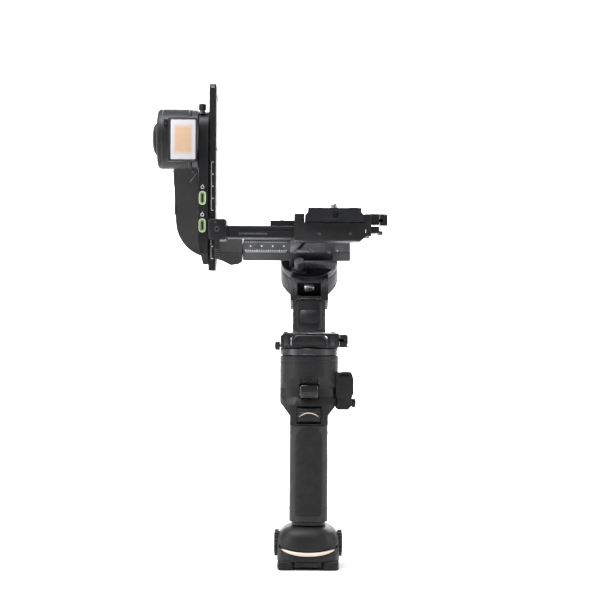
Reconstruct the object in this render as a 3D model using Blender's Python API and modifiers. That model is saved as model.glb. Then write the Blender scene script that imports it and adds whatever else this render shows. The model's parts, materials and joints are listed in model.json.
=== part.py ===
"""Three-axis handheld camera gimbal, modelled as the separate pieces it comes apart into.

Sizes are in millimetres and turned to metres as each piece is placed.
Seen from the lens side, +X is to the right, +Y points away towards the operator, and +Z is up.
The origin lies on the pan axis, on the plane of the four feet.
"""
import bmesh
import bpy
from math import cos, pi, radians, sin
from mathutils import Matrix, Vector

MM = 0.001
WELD = 0.00002          # metres, the merge distance for screws and curve caps
GAP = 0.3               # clearance between neighbouring pieces

# Driving dimensions -------------------------------------------------------------------------------
BASE_W, BASE_D = 53.0, 58.0
BASE_LOW, BASE_TOP = 7.3, 36.7
GRIP_W, GRIP_D = 32.6, 42.0
GRIP_LOW, GRIP_TOP = 40.0, 122.3
HEAD_R = 25.0
HEAD_LOW, HEAD_TOP = 122.6, 181.2
MOTOR_R = 25.8          # outer radius of the roll and tilt motors
BORE_R = 22.5           # inner radius of each motor housing
SHAFT_R = 4.7
PAN_TOP = 188.0
CLAMP_TOP = 201.0
BALANCE_Z = 366.6       # height of the tilt axis, where all three axes meet
ROLL_LEAN = 42.0        # degrees between the roll axis and the vertical
RAIL_Z = -124.5         # roll rail's centre along the roll axis, from the balance point
RAIL_W, RAIL_T = 19.0, 11.0
ARM_LEFT, ARM_RIGHT = -95.0, -86.9
SLIDE_LEFT, SLIDE_RIGHT = -86.6, -80.4
SLIDE_LOW, SLIDE_TOP = 253.6, 412.6
BRACKET_LOW, BRACKET_TOP = 281.6, 292.0
CELL_R, CELL_L = 9.2, 65.0

FRONT = (90, 0, 0)      # local XY lies in the XZ plane, seen from the lens side
SIDE = (90, 0, 90)      # local XY lies in the YZ plane, seen from +X
ALONG_X = (0, 90, 0)
ALONG_Y = (90, 0, 0)
FLAT = (0, 0, 0)

# Homes: where the pieces of an assembly are measured from
WORLD = Matrix.Identity(4)
ROLL = Matrix.Translation(Vector((0, 0, BALANCE_Z)) * MM) @ Matrix.Rotation(radians(ROLL_LEAN), 4, "X")
TILT = Matrix.Translation(Vector((0, 0, BALANCE_Z)) * MM)

# colour, roughness, metallic
FINISHES = {
    "plastic": ((0.020, 0.020, 0.022), 0.55, 0.0),
    "soft_grip": ((0.016, 0.016, 0.017), 0.75, 0.0),
    "gloss": ((0.012, 0.012, 0.014), 0.18, 0.0),
    "anodised": ((0.030, 0.030, 0.033), 0.38, 0.85),
    "satin": ((0.085, 0.087, 0.092), 0.32, 0.9),
    "steel": ((0.55, 0.55, 0.56), 0.30, 1.0),
    "brass": ((0.72, 0.53, 0.25), 0.35, 1.0),
    "copper": ((0.70, 0.33, 0.18), 0.40, 1.0),
    "rubber": ((0.018, 0.018, 0.018), 0.90, 0.0),
    "light": ((0.95, 0.93, 0.88), 0.50, 0.0),
    "diffuser": ((0.98, 0.86, 0.74), 0.60, 0.0),
    "port": ((0.45, 0.55, 0.30), 0.45, 0.0),
    "cell": ((0.10, 0.28, 0.50), 0.45, 0.0),
    "glass": ((0.010, 0.011, 0.014), 0.08, 0.0),
}


# Workshop: how every piece is made ---------------------------------------------------------------
def start_clean():
    """Empties the file and makes the two collections."""
    for old in list(bpy.data.objects):
        bpy.data.objects.remove(old, do_unlink=True)
    made = []
    for title in ("camera_gimbal", "cutters"):
        group = bpy.data.collections.new(title)
        bpy.context.scene.collection.children.link(group)
        made.append(group)
    return made


PARTS, CUTTERS = start_clean()


def place(name, data, at, turn, home, helper):
    """Puts mesh or curve data in the scene at a point and a turn measured from a home."""
    piece = bpy.data.objects.new(name, data)
    (CUTTERS if helper else PARTS).objects.link(piece)
    spin = Matrix.Rotation(radians(turn[2]), 4, "Z") @ Matrix.Rotation(radians(turn[1]), 4, "Y")
    spin = spin @ Matrix.Rotation(radians(turn[0]), 4, "X")
    piece.matrix_world = home @ Matrix.Translation(Vector(at) * MM) @ spin
    if helper:
        piece.hide_render = True
        piece.display_type = "WIRE"
    return piece


def to_mesh(form, name):
    """Turns a bmesh into mesh data and frees it."""
    mesh = bpy.data.meshes.new(name)
    form.to_mesh(mesh)
    form.free()
    return mesh


def rounded(form, edges, reach, steps):
    """Rounds the given edges of a bmesh."""
    bmesh.ops.bevel(
        form, geom=edges, offset=reach * MM, segments=steps, profile=0.5, affect="EDGES",
        clamp_overlap=True,
    )


def block(name, size, at, turn=FLAT, home=WORLD, edge=0.0, steps=2, helper=False):
    """A box of a size about its centre, with all its edges rounded."""
    form = bmesh.new()
    bmesh.ops.create_cube(form, size=1.0)
    bmesh.ops.scale(form, vec=Vector(size) * MM, verts=form.verts)
    if edge:
        rounded(form, form.edges[:], edge, steps)
    return place(name, to_mesh(form, name), at, turn, home, helper)


def pillow(name, size, at, corner, top=0.0, low=0.0, turn=FLAT, home=WORLD, steps=4, helper=False):
    """A box with large upright corners, and its upper and lower rims rounded."""
    form = bmesh.new()
    bmesh.ops.create_cube(form, size=1.0)
    bmesh.ops.scale(form, vec=Vector(size) * MM, verts=form.verts)
    upright = [e for e in form.edges if abs(e.verts[0].co.z - e.verts[1].co.z) > MM * 0.01]
    rounded(form, upright, corner, steps)
    half = size[2] * MM / 2
    for reach, level in ((top, half), (low, -half)):
        if reach:
            rim = [e for e in form.edges if all(abs(v.co.z - level) < 1e-6 for v in e.verts)]
            rounded(form, rim, reach, steps)
    return place(name, to_mesh(form, name), at, turn, home, helper)


def rod(name, radius, length, at, turn=FLAT, home=WORLD, sides=32, edge=0.0, helper=False):
    """A cylinder about its centre, with both rims rounded."""
    form = bmesh.new()
    bmesh.ops.create_cone(
        form, cap_ends=True, segments=sides, radius1=radius * MM, radius2=radius * MM,
        depth=length * MM,
    )
    if edge:
        rims = [e for e in form.edges if abs(e.verts[0].co.z - e.verts[1].co.z) < 1e-7]
        rounded(form, rims, edge, 2)
    return place(name, to_mesh(form, name), at, turn, home, helper)


def turned(name, profile, at, turn=FLAT, home=WORLD, sides=32, helper=False):
    """A turned piece: its profile is (radius, height) points, outer side from the top down."""
    form = bmesh.new()
    points = [form.verts.new((r * MM, 0, z * MM)) for r, z in profile]
    closed = profile[0][0] > 0
    for first, second in zip(points, points[1:] + points[:1] if closed else points[1:]):
        form.edges.new((first, second))
    piece = place(name, to_mesh(form, name), at, turn, home, helper)
    screw = piece.modifiers.new("turn", "SCREW")
    screw.axis = "Z"
    screw.steps = screw.render_steps = sides
    screw.use_merge_vertices = True
    screw.merge_threshold = WELD
    return piece


def plate(name, outline, thick, at, turn=FLAT, home=WORLD, helper=False):
    """A flat outline with a thickness, centred on its own plane."""
    curve = bpy.data.curves.new(name, "CURVE")
    curve.dimensions = "2D"
    curve.fill_mode = "BOTH"
    curve.extrude = thick * MM / 2
    line = curve.splines.new("POLY")
    line.points.add(len(outline) - 1)
    for point, (x, y) in zip(line.points, outline):
        point.co = (x * MM, y * MM, 0, 1)
    line.use_cyclic_u = True
    return baked(name, curve, at, turn, home, helper)


def tube(name, route, radius, at=(0, 0, 0), home=WORLD, helper=False):
    """A round bar along a list of points, with filled ends."""
    curve = bpy.data.curves.new(name, "CURVE")
    curve.dimensions = "3D"
    curve.bevel_depth = radius * MM
    curve.bevel_resolution = 2
    curve.use_fill_caps = True
    line = curve.splines.new("POLY")
    line.points.add(len(route) - 1)
    for point, spot in zip(line.points, route):
        point.co = (*(Vector(spot) * MM), 1)
    return baked(name, curve, at, FLAT, home, helper)


def baked(name, curve, at, turn, home, helper):
    """Makes a curve a closed mesh, so that it can be cut."""
    guide = place(name + "_guide", curve, at, turn, home, False)
    bpy.context.view_layer.update()
    graph = bpy.context.evaluated_depsgraph_get()
    mesh = bpy.data.meshes.new_from_object(guide.evaluated_get(graph))
    form = bmesh.new()
    form.from_mesh(mesh)
    bmesh.ops.remove_doubles(form, verts=form.verts, dist=WELD)
    bmesh.ops.recalc_face_normals(form, faces=form.faces)
    form.to_mesh(mesh)
    form.free()
    mesh.name = name
    piece = bpy.data.objects.new(name, mesh)
    (CUTTERS if helper else PARTS).objects.link(piece)
    piece.matrix_world = guide.matrix_world.copy()
    bpy.data.objects.remove(guide, do_unlink=True)
    if helper:
        piece.hide_render = True
        piece.display_type = "WIRE"
    return piece


def combine(piece, tool, operation):
    """Cuts a helper out of a piece, adds it, or keeps what they share."""
    change = piece.modifiers.new(tool.name, "BOOLEAN")
    change.operation = operation
    change.solver = "EXACT"
    change.object = tool
    return piece


def cut(piece, *tools):
    for tool in tools:
        combine(piece, tool, "DIFFERENCE")


def add(piece, *tools):
    for tool in tools:
        combine(piece, tool, "UNION")


def arc(cx, cy, rx, ry, start, end, count):
    """Points along an elliptical arc, angles in degrees."""
    spots = []
    for i in range(count + 1):
        angle = radians(start + (end - start) * i / count)
        spots.append((cx + rx * cos(angle), cy + ry * sin(angle)))
    return spots


def soft_rectangle(wide, deep, corner, cx=0.0, cy=0.0, count=3):
    """A rectangle's outline with round corners, counter-clockwise."""
    spots = []
    for sx, sy, start in ((1, 1, 0), (-1, 1, 90), (-1, -1, 180), (1, -1, 270)):
        ox = cx + sx * (wide / 2 - corner)
        oy = cy + sy * (deep / 2 - corner)
        spots += arc(ox, oy, corner, corner, start, start + 90, count)
    return spots


def knurled(radius, depth, teeth):
    """The outline of a grooved wheel: one raised and one sunk point for each groove."""
    spots = []
    for i in range(teeth * 2):
        reach = radius - (depth if i % 2 else 0)
        spots.append((reach * cos(pi * i / teeth), reach * sin(pi * i / teeth)))
    return spots


def finish(piece, kind):
    """Gives a piece its own material, and shades it smooth between its sharp edges."""
    colour, roughness, metallic = FINISHES[kind]
    material = bpy.data.materials.new(piece.name)
    material.use_nodes = True
    shader = material.node_tree.nodes["Principled BSDF"]
    shader.inputs["Base Color"].default_value = (*colour, 1)
    shader.inputs["Roughness"].default_value = roughness
    shader.inputs["Metallic"].default_value = metallic
    piece.data.materials.clear()
    piece.data.materials.append(material)
    piece.data.shade_smooth()
    piece.data.set_sharp_from_angle(angle=radians(35))
    return piece


# Handle: foot, grip and head, the body that is held -----------------------------------------------
ROSETTE_R, ROSETTE_Z = 11.5, 20.5
FOOT_X, FOOT_Y, FOOT_H = 18.9, 22.0, 7.0
DIAL_R, DIAL_Y, DIAL_Z = 7.0, -16.3, 131.2
TRIGGER_Z, TRIGGER_W, TRIGGER_H = 151.3, 16.4, 12.0
PANEL_Y, PANEL_T = 20.7, 2.2
STICK_Y, STICK_Z = 21.0, 141.0
RECORD_X, MODE_X, BUTTON_Z = -8.0, 6.5, 130.5
PORT_Z = 151.0          # middle of the accessory block


def make_base():
    """Foot of the handle: housing, floor plate, tripod bush, four feet, light strip, rosettes."""
    height = BASE_TOP - BASE_LOW
    housing = pillow("base_housing", (BASE_W, BASE_D, height), (0, 0, BASE_LOW + height / 2),
                     corner=19, top=14, steps=5)
    hollow_h = 25.0
    hollow = pillow("base_hollow", (BASE_W - 6, BASE_D - 6, hollow_h),
                    (0, 0, BASE_LOW - 1 + hollow_h / 2), corner=16, top=12, helper=True)
    cut(housing, hollow)
    pieces = [finish(housing, "plastic")]

    route = []
    front = [(x, -28.5) for x in (-7, -3.5, 0, 3.5, 7)]
    left, right = arc(-10.5, -13, 15.5, 15.5, 195, 270, 7), arc(10.5, -13, 15.5, 15.5, 270, 345, 7)
    for x, y in left + front + right:
        route.append((x, y, 14.0 + 5.5 * (x / 25) ** 2))
    cut(housing, tube("strip_groove", route, 1.5 + GAP, helper=True))
    pieces.append(finish(tube("base_light", route[1:-1], 1.5), "light"))

    for side, title in ((-1, "rosette_left"), (1, "rosette_right")):
        seat = rod(title + "_seat", ROSETTE_R + 0.5, 10, (side * 29.6, 0, ROSETTE_Z), ALONG_X,
                   helper=True)
        cut(housing, seat)
        disc = plate(title, knurled(ROSETTE_R, 0.9, 20), 4.0, (side * 26.9, 0, ROSETTE_Z), ALONG_X)
        cut(disc, rod(title + "_hole", 2.75, 9, (side * 26.9, 0, ROSETTE_Z), ALONG_X, sides=16,
                      helper=True))
        pieces.append(finish(disc, "anodised"))

    floor = block("base_plate", (BASE_W - 1, BASE_D - 1, 4.2), (0, 0, 4.9))
    cut(floor, rod("bush_seat", 7.0 + GAP, 10, (0, 0, 5.3), sides=24, helper=True))
    for sx in (-1, 1):
        for sy in (-1, 1):
            cut(floor, block(f"foot_seat_{sx}_{sy}", (20, 20, 12),
                             (sx * (FOOT_X + 2.5), sy * (FOOT_Y + 3.2), 5), helper=True))
    pieces.append(finish(floor, "plastic"))
    ring = [(7.0, 14.5), (7.0, 2.9), (4.5, 2.9), (4.5, 14.5)]
    pieces.append(finish(turned("tripod_bush", ring, (0, 0, 0), sides=24), "brass"))

    for sx, across in ((-1, "left"), (1, "right")):
        for sy, along in ((-1, "front"), (1, "rear")):
            foot = pillow(f"foot_{along}_{across}", (14.3, 13.0, FOOT_H),
                          (sx * FOOT_X, sy * FOOT_Y, FOOT_H / 2), corner=4.5, low=1.2, steps=2)
            pieces.append(finish(foot, "rubber"))

    collar = pillow("base_collar", (29, 39, 2.7), (0, 0, 38.35), corner=11)
    pieces.append(finish(collar, "anodised"))
    return pieces


def half_shell(name, side):
    """Front (-1) or rear (+1) half of the grip's rounded tube."""
    wall, corner = 2.2, 12.0
    ox, oy = GRIP_W / 2 - corner, GRIP_D / 2 - corner
    inner = corner - wall
    seam = GAP / 2
    path = [(GRIP_W / 2, seam)] + arc(ox, oy, corner, corner, 0, 90, 5)
    path += arc(-ox, oy, corner, corner, 90, 180, 5) + [(-GRIP_W / 2, seam)]
    path += [(wall - GRIP_W / 2, seam)] + arc(-ox, oy, inner, inner, 180, 90, 5)
    path += arc(ox, oy, inner, inner, 90, 0, 5) + [(GRIP_W / 2 - wall, seam)]
    path = [(x, side * y) for x, y in path]
    return plate(name, path, GRIP_TOP - GRIP_LOW, (0, 0, (GRIP_TOP + GRIP_LOW) / 2))


def make_grip():
    """Two grip shells around two battery cells."""
    pieces = [finish(half_shell("grip_front", -1), "soft_grip"),
              finish(half_shell("grip_rear", 1), "soft_grip")]
    for side, title in ((-1, "front"), (1, "rear")):
        cell = rod(f"battery_cell_{title}", CELL_R, CELL_L, (0, side * 9.4, 79), sides=24, edge=0.6)
        pieces.append(finish(cell, "cell"))
    return pieces


def make_head():
    """Head: the housing that narrows into the grip, with the pan motor's coils in its bore."""
    length = HEAD_TOP - HEAD_LOW
    head = rod("head_housing", HEAD_R, length, (0, 0, HEAD_LOW + length / 2), sides=48)
    for side in (-1, 1):
        flank = [(16.3, 118), (16.3, 130.5), (25.4, 142), (40, 142), (40, 118)]
        flank = [(side * x, z) for x, z in flank]
        cut(head, plate(f"flank_{side}", flank, 80, (0, 0, 0), FRONT, helper=True))
    arch = arc(0, 157.5, 26, 7, 0, 180, 12) + [(-26, 118), (26, 118)]
    brow = plate("brow", arch, 32, (0, -16, 0), FRONT, helper=True)
    core = turned("brow_core", [(0, 172), (37.5, 172), (37.5, 167), (25.6, 153.5), (25.6, 146.5),
                                (31.4, 140), (31.4, 110), (0, 110)], (0, 0, 0), sides=48, helper=True)
    core.scale = (1, 0.68, 1)
    cut(brow, core)
    back = [(20.4, 118), (20.4, 158.5), (32, 168), (32, 118)]
    cut(head, brow,
        plate("back", back, 80, (0, 0, 0), SIDE, helper=True),
        block("trigger_pocket", (TRIGGER_W + 0.9, 20, TRIGGER_H + 0.9), (0, -20.2, TRIGGER_Z),
              edge=1.5, helper=True),
        block("dial_pocket", (20.8, 30, 15), (0, -23.4, DIAL_Z), helper=True),
        rod("pan_bore", BORE_R, 30, (0, 0, 161.5 + 15), sides=48, helper=True),
        rod("cable_way", 5, 50, (0, 0, 140), sides=16, helper=True))
    pieces = [finish(head, "plastic")]
    coils = [(BORE_R - 0.7, 178), (BORE_R - 0.7, 162.3), (SHAFT_R + 0.7, 162.3), (SHAFT_R + 0.7, 178)]
    pieces.append(finish(turned("pan_stator", coils, (0, 0, 0)), "copper"))

    shape = [(19, 167.2), (36.2, 167.2), (37.9, 162.5), (37.9, 149), (36.4, 145), (36.4, 138.5),
             (33.6, 135.2), (19, 135.2)]
    clamp = plate("accessory_block", shape, 22, (0, 0, 0), FRONT)
    wedge = [(18, 146), (29, 146), (38, 134), (18, 134)]
    cut(clamp, rod("block_seat", HEAD_R + GAP, 60, (0, 0, PORT_Z), sides=48, helper=True),
        block("block_slot", (7.5, 6, 1.9), (29.8, -11, 165), helper=True),
        plate("block_wedge", wedge, 6, (0, -11, 0), FRONT, helper=True))
    pieces.append(finish(clamp, "anodised"))

    panel = plate("control_panel", soft_rectangle(30, 33, 6), PANEL_T,
                  (0, PANEL_Y + PANEL_T / 2, 141), FRONT)
    cut(panel, rod("stick_hole", 3.6, 8, (0, PANEL_Y, STICK_Z), ALONG_Y, sides=20, helper=True),
        rod("record_hole", 4.5, 8, (RECORD_X, PANEL_Y, BUTTON_Z), ALONG_Y, sides=20,
            helper=True),
        block("mode_hole", (10.6, 8, 4.6), (MODE_X, PANEL_Y, BUTTON_Z), helper=True))
    pieces.append(finish(panel, "gloss"))
    glass = block("display", (18, 0.8, 7), (0, 23.6, 152), edge=0.3, steps=1)
    pieces.append(finish(glass, "glass"))
    return pieces


def make_controls():
    """Trigger, dial, joystick, two buttons and the accessory knob: one piece for each body."""
    trigger = block("trigger", (TRIGGER_W, 9.5, TRIGGER_H), (0, -18.2, TRIGGER_Z), edge=2.4, steps=3)
    dial = plate("front_dial", knurled(DIAL_R, 0.45, 24), 19.6, (0, DIAL_Y, DIAL_Z), ALONG_X)
    stick = turned("joystick", [(0, 7.0), (3.6, 6.8), (5.4, 5.8), (5.4, 4.6), (2.0, 3.6), (2.0, 0.3),
                                (0, 0.3)], (0, STICK_Y, STICK_Z), (-90, 0, 0), sides=20)
    record = rod("record_button", 4.1, 2.8, (RECORD_X, 22.9, BUTTON_Z), ALONG_Y, sides=24, edge=0.4)
    mode = block("mode_button", (9.8, 2.8, 3.8), (MODE_X, 22.9, BUTTON_Z), edge=0.6)
    knob = plate("accessory_knob", knurled(4.0, 0.45, 12), 3.2, (38.3, 0, 140.8), ALONG_X)
    return {
        "trigger": [finish(trigger, "gloss")],
        "front_dial": [finish(dial, "anodised")],
        "joystick": [finish(stick, "rubber")],
        "record_button": [finish(record, "gloss")],
        "mode_button": [finish(mode, "gloss")],
        "accessory_knob": [finish(knob, "anodised")],
    }


# Pan: the turntable on the head, and the clamp that holds the pan arm -----------------------------
LEVER_X, LEVER_Y, LEVER_Z = 29.0, 13.0, 195.2
PAN_KNOB_Z = 189.6


def make_pan():
    """Turntable with its shaft, and the bridge-shaped clamp on top of it."""
    rotor = turned("pan_rotor", [(0, PAN_TOP), (24.2, PAN_TOP), (24.8, PAN_TOP - 0.8),
                                 (24.8, HEAD_TOP + 1.2), (23.6, HEAD_TOP + 0.4),
                                 (SHAFT_R, HEAD_TOP + 0.4), (SHAFT_R, 162.6), (0, 162.6)],
                   (0, 0, 0), sides=48)
    height = CLAMP_TOP - PAN_TOP - GAP
    clamp = block("pan_clamp", (50, 44, height), (0.3, 0, PAN_TOP + GAP + height / 2), edge=1.6)
    channel = [(-15.8, 189.9), (15.8, 189.9), (15.8, 196.4), (12.6, 199.6), (-12.6, 199.6),
               (-15.8, 196.4)]
    shoulder = [(-26, 197), (-20, 202), (-26, 202)]
    lug = block("clamp_lug", (12, 10, 1.7), (27.6, LEVER_Y, PAN_TOP + GAP + 0.85), helper=True)
    cut(clamp, plate("pan_channel", channel, 60, (0, 0, 0), FRONT, helper=True),
        plate("pan_shoulder", shoulder, 60, (0, 0, 0), FRONT, helper=True))
    add(clamp, lug)
    return [finish(rotor, "satin"), finish(clamp, "anodised")]


def hook_lever(name, x, y, z, reach):
    """Cam lever: a boss on an upright pin at its far end, and a hooked handle towards the lens side."""
    hook = [(3.2, -4.9), (3.2, 4.6), (-3.0, 4.6), (-3.0, 1.0), (0.6, 1.0), (0.6, -1.6),
            (-3.0, -1.6), (-3.0, -4.9)]
    handle = plate(name, hook, reach, (x, y - 3.5 - reach / 2, z), FRONT)
    boss = rod(name + "_boss", 3.4, 9.4, (x + 0.1, y, z - 0.15), sides=20, helper=True)
    neck = block(name + "_neck", (3.0, 8, 6), (x + 1.4, y - 4, z - 0.5), helper=True)
    add(handle, neck, boss)
    return [finish(handle, "gloss")]


def make_pan_knob():
    """Small knurled lock knob on the clamp's left side."""
    knob = plate("pan_clamp_knob", knurled(3.9, 0.4, 14), 4.2, (-27.2, 0, PAN_KNOB_Z), ALONG_X)
    return [finish(knob, "anodised")]


# Pan arm: slides in the clamp and carries the roll motor ------------------------------------------
MOTOR_LOW, MOTOR_TOP = -168.0, -142.0    # roll motor housing, along the roll axis
ROTOR_TOP = -135.3
FLOOR_SPARE = 0.6
SKIRT_DROP, SKIRT_INSET = 8.0, 10.0      # the roll motor's deep lower bevel
LATCH_Y, LATCH_Z = 65.9, 239.8


def motor_housing(name, home, low, top, turn=FLAT, drop=3.0, inset=2.8):
    """A motor's cup: bored from above, closed below, with a bevelled lower edge."""
    floor = low + max(3.5, drop + FLOOR_SPARE)
    profile = [(0, floor), (BORE_R, floor), (BORE_R, top), (MOTOR_R, top), (MOTOR_R, low + drop),
               (MOTOR_R - 0.3 * inset, low + 0.3 * drop), (MOTOR_R - inset, low), (0, low)]
    return turned(name, profile, (0, 0, 0), turn, home, sides=48)


def motor_coils(name, home, low, top, turn=FLAT):
    """The ring of coils in a motor's bore."""
    profile = [(BORE_R - 0.7, top), (BORE_R - 0.7, low), (SHAFT_R + 0.7, low), (SHAFT_R + 0.7, top)]
    return turned(name, profile, (0, 0, 0), turn, home)


def motor_rotor(name, home, shaft_low, low, top, radius, turn=FLAT):
    """A motor's turning disc with its shaft."""
    profile = [(0, top), (radius - 1.0, top), (radius, top - 1.0), (radius, low), (SHAFT_R, low),
               (SHAFT_R, shaft_low), (0, shaft_low)]
    return turned(name, profile, (0, 0, 0), turn, home, sides=48)


def make_pan_arm():
    """Pan arm with its balance rail and rising column, the roll fork and the roll motor."""
    rail = block("pan_arm", (31, 74, 9.0), (0, 12, 194.7))
    for sx in (-1, 1):
        cut(rail, block(f"rail_edge_{sx}", (4.6, 90, 4.6), (sx * 15.5, 12, 199.2), (0, 45, 0),
                        helper=True))
    side = [(38, 190.2), (52, 190.2), (66, 197), (81, 221.5), (58, 228.6), (50, 207), (44, 199.0),
            (38, 199.0)]
    column = plate("pan_column", side, 29, (0, 0, 0), SIDE, helper=True)
    add(rail, column)
    for sx in (-1, 1):
        corner = [(sx * 6.5, -3), (sx * 17.5, -3), (sx * 17.5, 8)]
        cut(rail, plate(f"column_edge_{sx}", corner, 30, (0, 53.3, 216), (-20, 0, 0), helper=True))
    pieces = [finish(rail, "anodised")]

    side = [(-48.7, -141.0), (-38.5, -135.2), (-16, -135.2), (-16, -166), (-34, -166)]
    fork = plate("roll_fork", side, 34, (0, 0, 0), SIDE, ROLL)
    recess = [(50, 232.4), (74, 232.4), (62, 252), (50, 252)]
    cut(fork, plate("fork_channel", recess, 21, (0, 0, 0), SIDE, helper=True),
        rod("fork_seat", MOTOR_R + GAP, 60, (0, 0, -154), FLAT, ROLL, sides=48, helper=True))
    pieces.append(finish(fork, "anodised"))

    pieces.append(finish(motor_housing("roll_motor_housing", ROLL, MOTOR_LOW, MOTOR_TOP,
                                       drop=SKIRT_DROP, inset=SKIRT_INSET), "plastic"))
    pieces.append(finish(motor_coils("roll_stator", ROLL, MOTOR_LOW + SKIRT_DROP + 1.1, MOTOR_TOP - 3),
                         "copper"))
    return pieces


def make_roll_lock():
    """Sliding catch in the fork's channel, which locks the roll motor for carrying."""
    catch = block("roll_lock", (9, 5.0, 5.0), (0, LATCH_Y, LATCH_Z), (31, 0, 0), edge=0.8)
    return [finish(catch, "steel")]


# Roll: turns about the leaning axis, and clamps the roll arm's rail -------------------------------
CAM_X, CAM_W, CAM_Z = -9.0, -18.6, -125.4


def make_roll():
    """Roll rotor, and the sleeve-shaped clamp on it with a window over the rail's scale."""
    rotor = motor_rotor("roll_rotor", ROLL, MOTOR_LOW + SKIRT_DROP + 1.2, MOTOR_TOP + GAP, ROTOR_TOP,
                        MOTOR_R)
    low, top = ROTOR_TOP + GAP, -116.6
    clamp = block("rail_clamp", (40, 26, top - low), (2, 0, (top + low) / 2), home=ROLL, edge=0.8)
    tunnel = block("rail_tunnel", (60, RAIL_W + 0.7, RAIL_T + 0.7), (2, 0, RAIL_Z), home=ROLL,
                   helper=True)
    gap = [(-11, -8), (13, -8), (13, 8), (-2, 8)]
    cut(clamp, tunnel, plate("scale_window", gap, 8, (0, 0, -116.6), home=ROLL, helper=True))
    add(clamp, block("cam_lug", (13, 12, 3.6), (CAM_X, -17.4, -132.2), home=ROLL, helper=True))
    return [finish(rotor, "satin"), finish(clamp, "anodised")]


def make_cam_lever():
    """Cam lever beside the rail clamp: round boss and a long flat handle."""
    handle = block("rail_clamp_lever", (31, 4.4, 7.6), (CAM_X + 17.5, CAM_W, CAM_Z), home=ROLL, edge=1.2)
    boss = rod("cam_boss", 4.4, 9.2, (CAM_X, CAM_W, CAM_Z), home=ROLL, sides=20, helper=True)
    add(handle, boss)
    return [finish(handle, "satin")]


# Roll arm: slides in the rail clamp and carries the tilt motor ------------------------------------
TILT_LEFT, TILT_RIGHT = -131.0, -101.6
LIGHT_X, LIGHT_Z = -107.7, 364.0
TILT_LOCK_X = -110.0


def make_roll_arm():
    """Rail with the scale, curved arm, tilt motor, fill light frame and its diffuser."""
    rail = block("roll_rail", (96.8, RAIL_W, RAIL_T), (-11.5, 0, RAIL_Z), home=ROLL, edge=0.8, steps=1)
    cut(rail, block("rail_groove", (120, 2.4, 1.6), (-10, 5.6, RAIL_Z + RAIL_T / 2), home=ROLL,
                    helper=True))
    pieces = [finish(rail, "satin")]

    bend = [(-60.2, -118.6)] + arc(-91, -112.6, 6, 6, 270, 180, 4) + [(-97.0, -18), (-118.5, -18)]
    bend += arc(-88, -85, 30.5, 40.5, 180, 270, 8) + [(-78, -129.5), (-70.8, -134.5),
                                                      (-63.5, -133), (-60.2, -130)]
    arm = plate("roll_arm", bend, 21, (0, 0, 0), FRONT, home=ROLL)
    cut(arm, rod("arm_seat", MOTOR_R + GAP, 60, (-110, 0, 0), ALONG_X, TILT, sides=48, helper=True))
    pieces.append(finish(arm, "plastic"))

    housing = motor_housing("tilt_motor_housing", TILT, TILT_LEFT, TILT_RIGHT, ALONG_X)
    pieces.append(finish(housing, "plastic"))
    pieces.append(finish(motor_coils("tilt_stator", TILT, TILT_LEFT + 4, TILT_RIGHT - 3, ALONG_X),
                         "copper"))

    frame = block("light_frame", (24.8, 8, 37.2), (LIGHT_X - 0.8, -27.6, LIGHT_Z), edge=1.4)
    cut(frame, rod("frame_seat", MOTOR_R + GAP, 60, (-110, 0, 0), ALONG_X, TILT, sides=48,
                   helper=True),
        block("panel_seat", (22.0, 3, 34.5), (LIGHT_X, -31.5, LIGHT_Z), helper=True))
    pieces.append(finish(frame, "plastic"))
    panel = block("light_panel", (21.2, 2.0, 33.7), (LIGHT_X, -31.2, LIGHT_Z), edge=0.7)
    pieces.append(finish(panel, "diffuser"))
    return pieces


def make_light_dial():
    """Brightness dial on the tilt motor's outer face."""
    profile = [(0, 4.0), (10.2, 4.0), (13.0, 2.2), (13.5, 0.3), (0, 0.3)]
    dial = turned("light_dial", profile, (TILT_LEFT, 0, 0), (0, -90, 0), TILT, sides=36)
    return [finish(dial, "plastic")]


def make_tilt_lock():
    """Sliding catch behind the tilt motor, which locks the tilt axis for carrying."""
    catch = block("tilt_lock", (8, 6, 4), (TILT_LOCK_X, 28.9, BALANCE_Z + 9), edge=0.8)
    return [finish(catch, "steel")]


# Tilt: the arm block on the tilt motor, and the upright rail --------------------------------------
PORT_X, PORT_HEIGHTS = -91.6, (315.2, 291.8)
KNOB_X, KNOB_Y = -92.4, -13.0


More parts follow.
